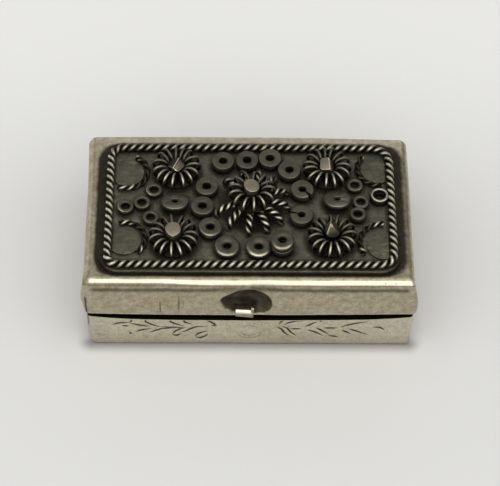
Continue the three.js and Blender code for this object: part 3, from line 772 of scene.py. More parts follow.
# Engraved laurel sprigs on both sides of a small ring, each stroke a list of (length, height)
SPRIGS = (
    ((-19, 4.6), (-18.1, 5.05), (-16.5, 5.2)), ((-16.5, 5.2), (-16.2, 5.75)),
    ((-16.5, 5.0), (-15.1, 4.5), (-13.7, 4.2)), ((-14.4, 6.0), (-14.3, 5.3), (-13.4, 4.6), (-12.4, 4.1)),
    ((-13.9, 2.7), (-13.1, 3.2), (-12.2, 3.6), (-10.8, 3.7)), ((-15.7, 2.9), (-15.1, 3.3), (-13.6, 3.7)),
    ((-16.6, 2.85), (-16.4, 2.3)), ((-17.6, 4.4), (-16.7, 4.3)), ((-12.3, 4.1), (-10.8, 3.9), (-9.2, 3.95)),
    ((-10.9, 5.9), (-10.9, 5.3), (-10.2, 4.8), (-9.1, 4.3)), ((-9.3, 6.1), (-8.9, 5.2), (-7.9, 4.7)),
    ((-10.7, 2.3), (-10.3, 3.0), (-9.6, 3.6), (-8.9, 3.9)), ((-10.7, 2.2), (-10.1, 1.9), (-9.5, 2.5)),
    ((-9.5, 2.7), (-8.8, 3.1), (-8.1, 3.7), (-7.4, 4.1), (-5.9, 4.2)),
    ((-7.6, 1.8), (-7.1, 2.5), (-5.9, 3.1)), ((-7.6, 1.7), (-6.9, 1.3), (-6.2, 1.8), (-5.8, 2.4)),
    ((-6.6, 6.0), (-5.7, 5.6), (-4.9, 4.9), (-4.7, 4.3)), ((-5.3, 4.4), (-4.5, 4.6)),
    ((4, 5.0), (4.4, 5.7), (5, 6.0)), ((4.7, 4.8), (5.3, 5.3), (6.3, 5.7), (7.9, 5.8)),
    ((3.7, 4.2), (4.3, 3.8), (4.8, 2.8), (5.4, 2.1)), ((4.4, 4.5), (5.1, 4.0), (5.7, 2.9), (6.4, 2.1)),
    ((5.6, 3.8), (7.1, 3.8)), ((7.6, 4.3), (8.3, 4.8), (9.2, 5.6)), ((9.7, 5.9), (9.7, 5.5)),
    ((7.9, 3.5), (8.7, 3.2), (10.2, 2.1)), ((9.1, 4.1), (9.7, 3.6), (10.9, 2.4)), ((10.9, 2.1), (12.3, 1.8)),
    ((10.1, 4.0), (12.1, 4.0)), ((12.5, 4.2), (13.3, 4.7), (14.6, 5.2), (16.1, 5.6)),
    ((12.7, 3.5), (13.9, 2.6)), ((13.6, 3.8), (14.5, 3.4), (16.2, 2.4)),
    ((16.9, 4.3), (17.9, 4.2), (18.6, 3.6)),
)

# The small ring's arcs, and the dots over it
CENTRE_ARCS = (
    arc((-0.1, 3.0), 1.6, 190, 350, 10),
    arc((-0.1, 3.0), 1.6, 30, 130, 10),
    arc((-0.1, 3.3), 1.15, 200, 330, 10),
)
CENTRE_DOTS = ((-1.25, 5.5, 0.16, 0.05), (-0.45, 5.55, 0.22, 0.08), (0.55, 5.4, 0.18, 0.05))


def scattered_pits(seed, count, x_reach, low, high):
    draw = random.Random(seed)
    pits = []
    for _ in range(count):
        spot = (draw.uniform(-x_reach, x_reach), draw.uniform(low, high))
        pits.append((*spot, draw.uniform(0.1, 0.2), draw.uniform(0.008, 0.03)))
    return pits


def pit_depths(x, z, pits):
    depth = np.zeros(len(x))
    for at_x, at_z, radius, deep in pits:
        depth = most(depth, deep * falling(np.hypot(x - at_x, z - at_z), 0, radius))
    return depth


def lid_insets(sizes, top):
    """The lid's skin from its top down its outside to its lower edge, and up its inside."""
    rounds = (sizes.side_round, sizes.front_round, sizes.back_round)
    wall = sizes.lid_wall
    edge = LID_EDGE[0][1]
    lip = 0.08
    insets = []
    for climb, _ in quarter(22):
        height = top - sizes.front_round * climb
        insets.append((*(draw_in(radius, top, height) for radius in rounds), height))
    tall = top - sizes.front_round - edge - lip
    rows = round(tall / sizes.row)
    insets += even(*((0, edge + lip + tall * (1 - step / rows)) for step in range(1, rows + 1)))
    insets += even((lip * 0.3, edge + lip * 0.3), (lip, edge), (wall - lip, edge), (wall, edge + lip))
    ceiling = top - sizes.top
    inner_round = sizes.front_round - wall
    inner_tall = ceiling - inner_round - edge - lip
    shares = np.linspace(0, 1, 13)[1:]
    insets += even(*((wall, edge + lip + inner_tall * share) for share in shares))
    for _, drop in quarter(6, 1):
        height = ceiling - inner_round * drop
        side = wall + draw_in(sizes.side_round - wall, ceiling, height)
        insets.append((side, wall + draw_in(inner_round, ceiling, height), wall, height))
    return insets + even(*((inset, ceiling) for inset in FLOOR_INSETS))


def base_insets(sizes, top):
    """The base's skin from its underside up its outside to its rim, and down its inside to its floor."""
    wall, floor, lower, taper = sizes.base_wall, sizes.top, sizes.lower_round, sizes.taper
    lip = 0.07
    foot = 0.35
    insets = [(lower * drop + taper, lower * drop, lower * drop, lower * climb) for climb, drop in quarter(8)]
    tall = top - lip - lower
    rows = round(tall / sizes.row)
    insets += [(taper * (1 - step / rows), 0, 0, lower + tall * step / rows) for step in range(1, rows + 1)]
    insets += even((lip * 0.3, top - lip * 0.3), (lip, top), (wall - lip, top), (wall, top - lip))
    inner_tall = top - lip - floor - foot
    insets += even(*((wall, floor + foot + inner_tall * share) for share in (0.75, 0.5, 0.25, 0)))
    insets += even(*((wall + foot * climb, floor + foot * drop) for climb, drop in quarter(5, 1)))
    return insets + even(*((inset, floor) for inset in FLOOR_INSETS))


def shaped_ends(places, low, high, edge, right_draw):
    """The lid's right end draws in, its front corners stand out and its back corners are knocked off."""
    x, y, z = places.T
    rise = np.clip((z - edge) / (high.z - 1.35 - edge), 0, 1)
    x -= right_draw * rise * rising(x, 18.5, 21.3)
    near_front = falling(y - low.y, 0.6, 2.6)
    behind_corner = rising(y - low.y, 0.2, 0.8) * falling(y - low.y, 1.6, 5.0)
    bulges = (
        (-1, 13.0, 1.5, 0.1, near_front),
        (-1, 10.0, 2.3, 0.54, behind_corner),
        (1, 9.8, 3.0, 0.42, near_front),
    )
    for side, height, spread, amount, where in bulges:
        bulge = amount * np.exp(-(((z - height) / spread) ** 2)) * where
        x += side * bulge * rising(side * x, 20.8, 22.0)
    upper = rising(z, 9.5, 12.0)
    x -= 0.2 * rising(y, 3, 12) * rising(-x, 20.0, 21.6) * upper
    y += (0.2 - 0.0005 * (x + 8) ** 2) * rising(y, high.y - 1.6, high.y - 0.6) * upper
    chipped = high.y - 0.57 * np.clip((x - high.x + right_draw + 1.08) / 1.08, 0, 1) * upper
    blunt = high.y - 0.42 * np.clip((low.x + 0.75 - x) / 0.75, 0, 1) ** 2 * upper
    y[:] = np.minimum(y, np.minimum(chipped, blunt))


def depth_inside(x, y, low, high, radius=0.5):
    """How far points lie inside a box's outline with rounded corners, seen from above, near its front."""
    across = np.clip(np.abs(x) - high.x + radius, 0, None)
    ahead = np.clip(low.y + radius - y, 0, None)
    return radius - np.hypot(across, ahead)


def seat_for_barrel(places, back):
    """The round groove that the rear wall gives the hinge barrel."""
    low, high = node_box("lid_knuckle_2")
    axis = (low + high) / 2
    radius = (high.z - low.z) / 2 + 0.08
    pin_low, pin_high = node_box("hinge_pin")
    x, y, z = places.T
    drop = np.sqrt(np.clip(radius**2 - (z - axis.z) ** 2, 0, None))
    inside = (y > back - 0.3) & (drop > 0) & (x > pin_low.x - 0.4) & (x < pin_high.x + 0.4)
    y[inside] = np.minimum(y, axis.y - drop)[inside]


class PILLBOX_OT_lid(bpy.types.Operator):
    """Raise the lid shell with its rounded edges, thumb dish, scratches, nicks and worn edge, and its painted
    highlight band and painted shade
    """

    bl_idname = "pill_box.lid"
    bl_label = "Lid Shell"

    def execute(self, context):
        sizes = in_millimetres(context.scene.pill_box_shell)
        low, high = node_box("lid_shell")
        insets = lid_insets(sizes, high.z)
        bm = shell(high.x, low.y, high.y, insets, sizes.plan_corner, 5, (360, 90, 45))
        places = places_of(bm.verts)
        x, y, z = places.T
        front = y < low.y + 1.2
        wall_top = high.z - sizes.front_round
        edge = LID_EDGE[0][1]
        deep = depth_inside(x, y, low, high)
        shaped_ends(places, low, high, edge, sizes.right_draw)
        reach = np.clip((wall_top - z) / (wall_top - edge), 0, 1) ** 3
        lower = curve_through(LID_EDGE, x)
        z[front] += ((lower - edge) * reach)[front]

        outer = (y < low.y + 0.42) & (z < high.z - 0.2)
        inner = (y > low.y + 0.5) & (y < low.y + 0.8) & (z < high.z - 1)
        ripple = noise_at(x * 0.28, 0.0, 0.0)
        round_only = rising(z, wall_top - 0.3, wall_top + 0.5) * falling(y - low.y, 0.6, 1.3)
        y += 0.07 * ripple * round_only * front
        inside = outline_depth(x, z, DISH)
        halo = 0.10 * np.exp(-np.clip(-inside, 0, None) / np.where(x > 0, 0.55, 0.2)) * (inside < 0)
        dish = self.bowl(inside / 1.7) * sizes.dish_depth + np.where(inside > 0, 0.10, halo)
        behind = self.bowl((inside + 0.6) / 1.9) * sizes.dish_depth
        scratches = [deep * stroke_field(x, z, [ends], half) for *ends, half, deep in LID_SCRATCHES]
        pits = scattered_pits(11, 70, high.x - 0.8, 7.8, 12.4)
        marks = most(pit_depths(x, z, [*LID_NICKS, *pits]), *scratches) * (inside < -0.1)
        y[outer] += (dish + marks)[outer]
        y[inner] += behind[inner]
        corner = np.hypot(x - low.x - 0.12, y - low.y - 0.12)
        seam = falling(corner, 0.05, 0.28) * rising(z, 7.4, 7.7) * falling(z, 10.9, 11.5) * (x < 0)
        seat_for_barrel(places, high.y)
        move_to(bm, places)

        tarnish = noise_at(x * 0.9, z * 0.9, 3.1)
        # The dish is painted dark: its tarnish and the painted shade in its hollow together
        dish_dark = 0.89 + 0.12 * tarnish - 0.05 * rising(x - 0.4 * (z - 9), 0.3, 1.8) * falling(z, 9, 11.5)
        near_dish = falling(np.abs(x + 0.5), 3.0, 5.0)
        streak = np.exp(-(((z - 13.12 - 0.06 * ripple - 0.2 * near_dish) / (0.45 + 0.2 * near_dish)) ** 2))
        streak *= (0.68 - 0.2 * near_dish * (x < 0) + 0.08 * tarnish) * rising(22.0 - np.abs(x), 0, 1.2)
        in_dish = rising(inside, -0.06, 0.14) * dish_dark
        on_wall = most(in_dish, rising(marks, 0.012, 0.07) * 0.9, seam, streak)
        # Painted shade: the inside of the lid's lower front edge is painted black, so that the gap under it
        # reads dark
        gap_shade = (deep > 0.1) & (y < low.y + 1.2) & (z < lower + 0.3)

        # The front round gets a painted highlight band where it turns towards the softbox, painted shade
        # below the band and at its left end, and painted shade above it on the strip in front of the plaque
        turned = np.degrees(np.arctan2(z - wall_top, np.maximum(sizes.front_round - (y - low.y), 0.001)))
        turned = np.where((z > high.z - 0.4) | (z > wall_top) & (y < low.y + 1.4), turned, 0)
        leftward = falling(x - low.x, 9.0, 18.0)
        lit_from = 29 + 12 * leftward
        lit_to = 57 + 5 * leftward + 2 * ripple
        off_end = rising(x - low.x, 0.7, 1.0)
        lit = rising(turned, lit_from, lit_from + 9) * falling(turned, lit_to, lit_to + 8) * off_end
        round_shade = 0.5 * rising(turned, 18, 30) * falling(turned, 40, 60) * (1 - lit)
        end_shade = 0.32 * rising(turned, 28, 40) * (1 - off_end) * (y < low.y + 1.4)
        ledge = 0.34 * rising(turned, lit_to, lit_to + 10) * falling(y - low.y, 1.3, 2.4)
        ledge *= rising(21.8 - np.abs(x), 0, 1.5)
        worn_edge = falling(z - lower, 0.04, 0.2) * 0.8 * front * (inside < -0.1)
        # The strip along the back of the top is painted lighter
        back_strip = 0.16 * rising(y, high.y - 1.5, high.y - 0.9) * (z > high.z - 0.4)
        # Darkening: dish, scratches, seam and streak, with the painted shade; brightening: the worn lower
        # edge, the painted highlight and the back strip
        paint(
            bm,
            cut=most(on_wall * outer, gap_shade, round_shade, end_shade, ledge),
            wear=most(worn_edge, lit * (0.5 + 0.1 * ripple), back_strip),
        )
        uneven(bm, 9.0, sizes.wave)
        uneven(bm, 2.6, 0.2 * sizes.wave)
        finished(bm, context, "lid_shell", lid_silver, sharp=50)
        return {"FINISHED"}

    @staticmethod
    def bowl(share):
        """How deep the dish is for a distance from its rim, both as shares."""
        return np.sin(np.clip(share, 0, 1) * np.pi / 2) ** 0.75


class PILLBOX_OT_base(bpy.types.Operator):
    """Raise the base with its bowed front edge and engrave the laurel sprigs"""

    bl_idname = "pill_box.base"
    bl_label = "Engraved Base"

    def execute(self, context):
        sizes = in_millimetres(context.scene.pill_box_shell)
        low, high = node_box("base_tray")
        insets = base_insets(sizes, high.z)
        bm = shell(high.x, low.y, high.y, insets, sizes.plan_corner, 5, (380, 80, 40))
        places = places_of(bm.verts)
        x, y, z = places.T
        lower = sizes.lower_round
        front = y < low.y + 0.95
        deep = depth_inside(x, y, low, high)
        reach = np.clip((z - lower) / (high.z - lower), 0, 1) ** 2
        edge = curve_through(BASE_EDGE, x)
        z[front] += ((edge - high.z) * reach)[front]
        sweep = np.clip(draw_in(sizes.left_round, 0, -z) - draw_in(lower, 0, -z), 0, None)
        x += np.where(x < low.x + 2.5, sweep * rising(-x, 19.8, 21.5), 0)

        outer = (y < low.y + 0.35) & (z > 0.3)
        engraved = stroke_field(x, z, SPRIGS, 0.31) * rising(edge - z, 0.02, 0.14)
        faint = stroke_field(x, z, CENTRE_ARCS, 0.19) * 0.5
        pits = scattered_pits(23, 150, high.x - 0.6, 0.6, 6.4)
        marks = most(sizes.engraving * most(engraved, faint), pit_depths(x, z, [*CENTRE_DOTS, *pits]))
        y[outer] += marks[outer]
        seat_for_barrel(places, high.y)
        move_to(bm, places)
        corner = np.hypot(x - low.x - 0.1, y - low.y - 0.1)
        on_wall = most(
            rising(engraved, 0.2, 0.7) * 0.92 + rising(faint, 0.1, 0.4) * 0.42,
            rising(marks, 0.02, 0.08) * 0.6,
            # The top edge of the front wall, under the lid, darkened as painted shade
            falling(edge - z, 0.0, 0.1) * 0.3,
            falling(corner, 0.05, 0.25) * rising(z, 3.8, 5.0) * (x < 0) * 0.9,
        )
        # Painted shade: the top of the base's front wall is painted black inside the gap
        gap_shade = (deep > 0.05) & (y < low.y + 1.2) & (z > edge - 1.5)
        rim = falling(edge - z, 0.02, 0.16) * 0.05
        # Painted light: the lower part of the front is painted lighter
        foot = falling(z, 0.4, 2.0) * 0.5
        lit_side = rising(engraved, 0.02, 0.12) * falling(engraved, 0.12, 0.3)
        paint(bm, cut=most(on_wall * outer, gap_shade), wear=(most(rim, foot) + 0.35 * lit_side) * outer)
        uneven(bm, 8.0, 0.8 * sizes.wave)
        uneven(bm, 2.4, 0.2 * sizes.wave)
        finished(bm, context, "base_tray", base_silver, "base", sharp=50)
        return {"FINISHED"}


# The hinge, the inner rim and the thumb piece

SHELLS = {"base": base_silver, "lid": lid_silver}

# Half of the pin's outline: share of its radius, and distance from its end
PIN_HEAD = ((0, 0), (0.6, 0), (0.9, 0.12), (1, 0.22), (1, 0.35), (0.69, 0.35))

# The inner rim's front is painted dark, as painted shade in the gap under the lid, up to the first of these
# heights, and left unpainted from the second on
RIM_SHADE = (6.9, 7.5)


class PILLBOX_OT_hinge(bpy.types.Operator):
    """Turn the hinge knuckles and the pin, and round off the inner rim and the thumb piece"""

    bl_idname = "pill_box.hinge"
    bl_label = "Hinge, Rim and Thumb Piece"

    def execute(self, context):
        pin_half, _, pin_height = node_size("hinge_pin")
        for index in range(1, 6):
            body = "base" if index % 2 else "lid"
            node = f"{body}_knuckle_{index}"
            half, _, height = node_size(node)
            bm = bmesh.new()
            spun_ring(bm, rounded_profile(pin_height / 2.9 + 0.06, height / 2, -half, half, 0.09), 32)
            self.lay_along_x(bm, node)
            paint(bm, wear=0.15)
            finished(bm, context, node, SHELLS[body], body)

        bm = bmesh.new()
        head = [(max(0.001, share * pin_height / 2), inward - pin_half) for share, inward in PIN_HEAD]
        spun_ring(bm, head + [(radius, -place) for radius, place in reversed(head)], 24)
        bmesh.ops.remove_doubles(bm, verts=bm.verts, dist=0.003)
        bmesh.ops.recalc_face_normals(bm, faces=bm.faces)
        self.lay_along_x(bm, "hinge_pin")
        finished(bm, context, "hinge_pin", base_silver, "base")

        bm = softened_copy("inner_rim", 0.08)
        for height in RIM_SHADE:
            cut_through(bm, UP * height, UP)
        _, y, z = places_of(bm.verts).T
        # Painted shade on the front of the rim, low down
        paint(bm, wear=0.15, cut=falling(z, *RIM_SHADE) * (y < y.min() + 0.3))
        finished(bm, context, "inner_rim", base_silver, "base")
        bm = softened_copy("thumb_piece", 0.09, 4)
        self.bend_ledge(bm)
        finished(bm, context, "thumb_piece", lid_silver, sharp=60)
        return {"FINISHED"}

    @staticmethod
    def bend_ledge(bm):
        """Slopes the thumb piece's ledge forward and paints its top bright as a painted highlight, with its
        lip and its ear duller and its back dark as painted shade.
        """
        start = node_box("lid_shell")[0].y - 0.15
        low, high = node_box("thumb_piece")
        brow = high.z - 1.1
        ear = high.x - 0.5
        for normal, distance in ((BACKWARD, start), (BACKWARD, start - 0.1), (UP, brow), (RIGHTWARD, ear)):
            cut_through(bm, normal * distance, normal)
        places = places_of(bm.verts)
        x, y, z = places.T
        on_top = z > brow + 0.01
        in_front = y < start - 0.05
        at_ear = x > ear + 0.01
        z += 0.26 - 0.5 * np.clip(start - y, 0, None) * on_top
        z += 0.2 * (high.x - x) / (high.x - low.x) * ~on_top
        move_to(bm, places)
        # Painted highlight on the ledge's top, painted shade on its back
        duller = 0.3 * (at_ear | ~on_top)
        paint(bm, wear=0.7 * (on_top & in_front & ~at_ear), cut=np.where(in_front, duller, 0.85))

    @staticmethod
    def lay_along_x(bm, node):
        low, high = node_box(node)
        turn = Matrix.Rotation(math.radians(90), 4, "Y")
        bmesh.ops.transform(bm, matrix=Matrix.Translation((low + high) / 2) @ turn, verts=bm.verts)


# The plaque


class PILLBOX_OT_plaque(bpy.types.Operator):
    """Cut the plaque with its softened edge, and the four corner discs"""

    bl_idname = "pill_box.plaque"
    bl_label = "Plaque and Corner Discs"

    def execute(self, context):
        low, high = node_box("plaque_plate")
        half_x, half_y, _ = node_size("plaque_plate")
        middle = node_seat("plaque_plate")
        edge = 0.16
        field = 2.2
        insets = [(field, high.z), (1.5, high.z)]
        insets += [(edge * drop, high.z - edge * climb) for climb, drop in quarter(4)]
        insets += [(0, low.z + 0.03), (0.03, low.z)]
        bm = shell(half_x, -half_y, half_y, even(*insets), 2.7, 14, (160, 160, 80))
        self.checker(bm, half_x, half_y, high.z)
        bmesh.ops.translate(bm, vec=(middle.x, middle.y, 0), verts=bm.verts)
        places = places_of(bm.verts)
        x, y, z = places.T
        lip = np.exp(-(((z - high.z + 0.05) / 0.1) ** 2))
        outside = most(np.abs(x - middle.x) - half_x, np.abs(y - middle.y) - half_y)
        in_front = rising(low.y + 0.9 - y, 0, 0.5)
        near = self.beside_ornaments(x, y) * (z > high.z - 0.1)
        in_field = outside < 0.01 - field
        # Black patina with painted shade under the border and outside it
        border_patina_and_shade = (0.8 - 0.2 * in_front) * rising(outside, -2.1, -1.6) * (1 - 0.6 * lip * in_front)
        lit_edge = lip * rising(outside, -0.4, -0.1) * (0.08 + 0.02 * in_front)
        bare = (1 - near) * in_field * 0.36
        # Black beside the ornaments, tarnish and painted shade together; the open field is left lighter
        paint(bm, wear=most(bare, lit_edge), cut=most(border_patina_and_shade, 0.8 * near * in_field))
        uneven(bm, 4.0, 0.03)
        finished(bm, context, "plaque_plate", dark_silver)

        for corner in CORNERS:
            bm = softened_copy("corner_disc_" + corner, 0.06)
            tall = places_of(bm.verts)[:, 2]
            # The discs' tops are painted a little lighter than their sides, a painted highlight
            paint(bm, wear=0.2 + 0.08 * rising(tall, tall.max() - 0.12, tall.max()))
            finished(bm, context, "corner_disc_" + corner, dark_silver)
        return {"FINISHED"}

    @staticmethod
    def checker(bm, half_x, half_y, top, step=0.45):
        """Cuts the plaque's top face into small squares, so that it can be painted."""
        for normal, half in ((RIGHTWARD, half_x), (BACKWARD, half_y)):
            count = round(2 * half / step)
            for index in range(1, count):
                faces = [face for face in bm.faces if face.normal.z > 0.9]
                faces = [face for face in faces if face.calc_center_median().z > top - 0.01]
                edges = {edge for face in faces for edge in face.edges}
                verts = {vert for face in faces for vert in face.verts}
                place = normal * (index * 2 * half / count - half)
                bmesh.ops.bisect_plane(bm, geom=[*verts, *edges, *faces], plane_co=place, plane_no=normal)
                bm.normal_update()

    @staticmethod
    def beside_ornaments(x, y):
        """One right beside what is soldered on the plaque, nought in the open field."""
        near = np.zeros(len(x))
        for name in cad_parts:
            if name.startswith("rosette_stud") or "er_upper" in name:
                continue
            if name.startswith(("rosette", "washer", "stacked", "large", "small", "stem")):
                middle = node_seat(name)
                radius = node_size(name)[0] - (1.0 if name == "stem_cage" else 0.0)
                away = np.hypot(x - middle.x, y - middle.y) - radius
                near = most(near, falling(away, 0.0, 0.75))
        return near


# The border's distance from the plaque's sides, its corner radii, and where its ends meet
ROPE_MARGINS = {"left": 0.86, "right": 0.66, "front": 0.27, "back": 0.7}
ROPE_CORNERS = {"front_right": 1.8, "back_right": 2.5, "back_left": 1.8, "front_left": 1.3}
ROPE_JOINT = 4.8
ROPE_GAP = 0.3

# The corner arcs: centre from the middle of the border, radius, first and last angle, and the stretches left
# bright, the rest being painted darker
ARCS = {
    "back_left": ((-17.0, 5.71), 2.8, -115, 66, ((-116, -66), (52, 67))),
    "back_right": ((17.62, 6.43), 2.85, 134, 278, ((134, 139),)),
    "front_left": ((-17.1, -5.79), 2.85, -48, 105, ((70, 106), (-48, -30))),
    "front_right": ((17.9, -6.14), 3.15, 86, 218, ((84, 120), (200, 219))),
}


def wire_arc(centre, radius, start, end, height):
    """An arc with a point about every six degrees, at one height."""
    count = max(6, round(abs(end - start) / 6))
    return [(*spot, height) for spot in arc(centre, radius, start, end, count)]


def rope_route(low, high, height):
    """Once round the border, from the right of its joint to the left of it."""
    joint = (low.x + high.x) / 2 + ROPE_JOINT
    route = [(joint + ROPE_GAP / 2, low.y, height)]
    for start, (corner, radius) in zip((-90, 0, 90, 180), ROPE_CORNERS.items()):
        x = high.x - radius if "right" in corner else low.x + radius
        y = low.y + radius if "front" in corner else high.y - radius
        route += wire_arc((x, y), radius, start, start + 90, height)
    return [*route, (joint - ROPE_GAP / 2, low.y, height)]


class PILLBOX_OT_border(bpy.types.Operator):
    """Twist the two-strand border and the four short corner arcs"""

    bl_idname = "pill_box.border"
    bl_label = "Twisted Border"

    def execute(self, context):
        sizes = in_millimetres(context.scene.pill_box_wire)
        low, high = node_box("plaque_plate")
        left, right, front, back = (margin + sizes.rope / 2 for margin in ROPE_MARGINS.values())
        low = Vector((low.x + left, low.y + front, high.z))
        high = Vector((high.x - right, high.y - back, high.z))
        middle = (low + high) / 2
        bm = bmesh.new()
        route = rope_route(low, high, low.z + sizes.rope / 2)
        axis = twisted_wire(bm, route, UP, sizes.rope, sizes.rope_pitch, sizes.steps)
        self.rub_and_light(bm, axis, sizes.rope)
        finished(bm, context, "rope_border", worn_silver, sharp=60)

        for corner, (place, radius, start, end, bright) in ARCS.items():
            centre = middle.xy + Vector(place)
            bm = bmesh.new()
            route = wire_arc(centre, radius, start, end, low.z + sizes.arc / 2)
            axis = twisted_wire(bm, route, UP, sizes.arc, sizes.arc_pitch, sizes.steps, 0.8)
            self.rub_and_light(bm, axis, sizes.arc, centre, bright)
            finished(bm, context, "corner_arc_" + corner, worn_silver, sharp=60)
        return {"FINISHED"}

    @staticmethod
    def rub_and_light(bm, axis, diameter, centre=None, bright=()):
        """Brightens what stands out and its top, rubbed silver with painted light, most along an arc's bright
        stretches; along the border less at its back, and more at its ends as a painted highlight.
        """
        bmesh.ops.remove_doubles(bm, verts=bm.verts, dist=0.0005)
        places = places_of(bm.verts)
        x, y, z = places.T
        # Tops brighter: wear and painted light together
        tall = rising(z - axis[:, 2].mean(), -0.35 * diameter, 0.3 * diameter)
        wear = stand_out(places, axis, diameter) * (0.22 + 0.69 * tall)
        if bright:
            angle = np.degrees(np.arctan2(y - centre[1], x - centre[0]))
            kept = np.zeros(len(places))
            for start, end in bright:
                away = np.abs((angle - (start + end) / 2 + 180) % 360 - 180) - (end - start) / 2
                kept = most(kept, falling(away, -3, 5))
            wear *= 0.28 + 0.74 * kept
        else:
            back = rising(y, axis[:, 1].max() - 1.5, axis[:, 1].max() - 0.6)
            # A painted highlight on the border's left and right runs
            ends = rising(np.abs(x), axis[:, 0].max() - 1.2, axis[:, 0].max() - 0.4)
            wear *= 1 - 0.14 * back * (x < 14) + 0.18 * ends * (1 - back)
        paint(bm, wear=wear)
        uneven(bm, 1.7, 0.025)


# Rosettes, studs and the raised flower

# Radii of the low ring that the loops of a rosette stand on
SEAT_RADII = (1.12, 2.85)

# Directions of the stems under the flower, in degrees
STEM_ANGLES = (-158, -128, -95, -65, -38, -10, 20, 51, 77, 105, 134)


def wire_rosette(bm, loops, reach, wire, draw):
    """Loops of wire standing round in radial planes. Returns how bright each point is painted: rubbed silver
    with painted highlights on the loops' outer sides, tops and crests, and painted shade on the loops at the
    back.
    """
    radius = (reach - 1.11) / 2 - wire / 2
    centre = reach - radius - wire / 2
    rubbed_and_lit = []
    for index in range(loops):
        start = len(bm.verts)
        turn = 2 * math.pi * index / loops
        ring = bmesh.ops.create_circle(bm, segments=8, radius=wire / 2)["verts"]
        bmesh.ops.translate(bm, vec=(radius, 0, 0), verts=ring)
        edges = list({edge for vert in ring for edge in vert.link_edges})
        spun(bm, ring + edges, BACKWARD, 22)
        made = verts_from(bm, start)
        x, y, z = places_of(made).T
        # Painted light: each loop brighter on its outer side, its top, its crest and its outer end, and loops
        # at the back darker
        outward = 0.25 + 0.75 * np.clip(0.5 + (np.hypot(x, z) - radius) / wire, 0, 1)
        high = np.clip((z + 0.75 * radius) / (1.5 * radius), 0.1, 1)
        edge = 1 - 0.5 * (2 * y / wire) ** 2
        away = 0.62 + 0.38 * np.clip(0.5 + 0.6 * x / radius, 0, 1)
        rubbed_and_lit.append(outward * high * edge * away * (0.80 - 0.22 * math.sin(turn)))
        size = draw.uniform(0.94, 1.04)
        shape = (
            Matrix.Rotation(turn + draw.uniform(-0.05, 0.05), 4, "Z")
            @ Matrix.Translation((centre, 0, (radius + wire / 2) * size + 0.02))
            @ Matrix.Rotation(draw.uniform(-0.13, 0.13), 4, "Z")
            @ Matrix.Rotation(draw.uniform(-0.10, 0.10), 4, "X")
            @ Matrix.Diagonal((1, 1, size, 1))
        )
        bmesh.ops.transform(bm, matrix=shape, verts=made)
    bmesh.ops.recalc_face_normals(bm, faces=bm.faces)
    return np.concatenate(rubbed_and_lit)


class PILLBOX_OT_rosettes(bpy.types.Operator):
    """Bend the wire loops of the four rosettes and the raised flower, and the flower's twisted stems"""

    bl_idname = "pill_box.rosettes"
    bl_label = "Rosettes and Stems"

    def execute(self, context):
        sizes = in_millimetres(context.scene.pill_box_wire)
        draw = random.Random(5)
        kinds = {"rosette_" + corner: (sizes.loops, 1.07) for corner in CORNERS}
        kinds["flower_rosette"] = (sizes.centre_loops, 1.02)
        for name, (loops, grow) in kinds.items():
            bm = bmesh.new()
            rubbed_and_lit = wire_rosette(bm, loops, node_size(name)[0] * grow, sizes.loop_wire, draw)
            spun_ring(bm, rounded_profile(*SEAT_RADII, 0.0, 0.3, 0.08, 2), 40)
            paint(bm, wear=np.append(rubbed_and_lit, np.full(len(bm.verts) - len(rubbed_and_lit), 0.12)))
            bmesh.ops.translate(bm, vec=node_seat(name), verts=bm.verts)
            finished(bm, context, name, worn_silver, sharp=60)
        self.stems(context, sizes)
        return {"FINISHED"}

    @staticmethod
    def stems(context, sizes):
        """Twisted stems that leave a collar under the flower level, and bend down to the plaque."""
        low, _ = node_box("stem_cage")
        centre = node_seat("flower_rosette")
        diameter = sizes.stem
        sunk = 0.08
        leave = centre.z - low.z + sunk - 0.04 - diameter / 2
        bm = bmesh.new()
        spun_ring(bm, rounded_profile(0.3, 1.8, leave - 0.4, leave + diameter / 2 - 0.02, 0.1, 3), 32)
        wear = [np.full(len(bm.verts), 0.2)]
        corners = [(1.26, 0, leave - 0.05), (3.9, 0, leave + 0.15), (5.1, 0, leave + 0.15), (5.1, 0, sunk)]
        t = np.linspace(0, 1, 31)
        weights = np.stack([(1 - t) ** 3, 3 * t * (1 - t) ** 2, 3 * t * t * (1 - t), t**3], axis=1)
        bend = weights @ np.array(corners)
        for stem, angle in enumerate(STEM_ANGLES):
            turn = turned_by(angle)
            route = bend @ np.array(turn).T
            start = len(bm.verts)
            normal = turn @ -BACKWARD
            axis = twisted_wire(bm, route, normal, diameter, sizes.stem_pitch, sizes.steps, stem * 1.3)
            places = places_of(verts_from(bm, start))
            # Painted light: stems facing the front, and their higher parts, painted brighter
            front = 0.84 + 0.16 * rising(-math.sin(math.radians(angle)), -0.6, 0.5)
            raised = np.clip(0.4 + 0.35 * places[:, 2], None, 1)
            wear.append(stand_out(places, axis, diameter) * front * raised)
        paint(bm, wear=np.concatenate(wear))
        bmesh.ops.remove_doubles(bm, verts=bm.verts, dist=0.0005)
        bmesh.ops.translate(bm, vec=(centre.x, centre.y, low.z - sunk), verts=bm.verts)
        finished(bm, context, "stem_cage", worn_silver, sharp=60)


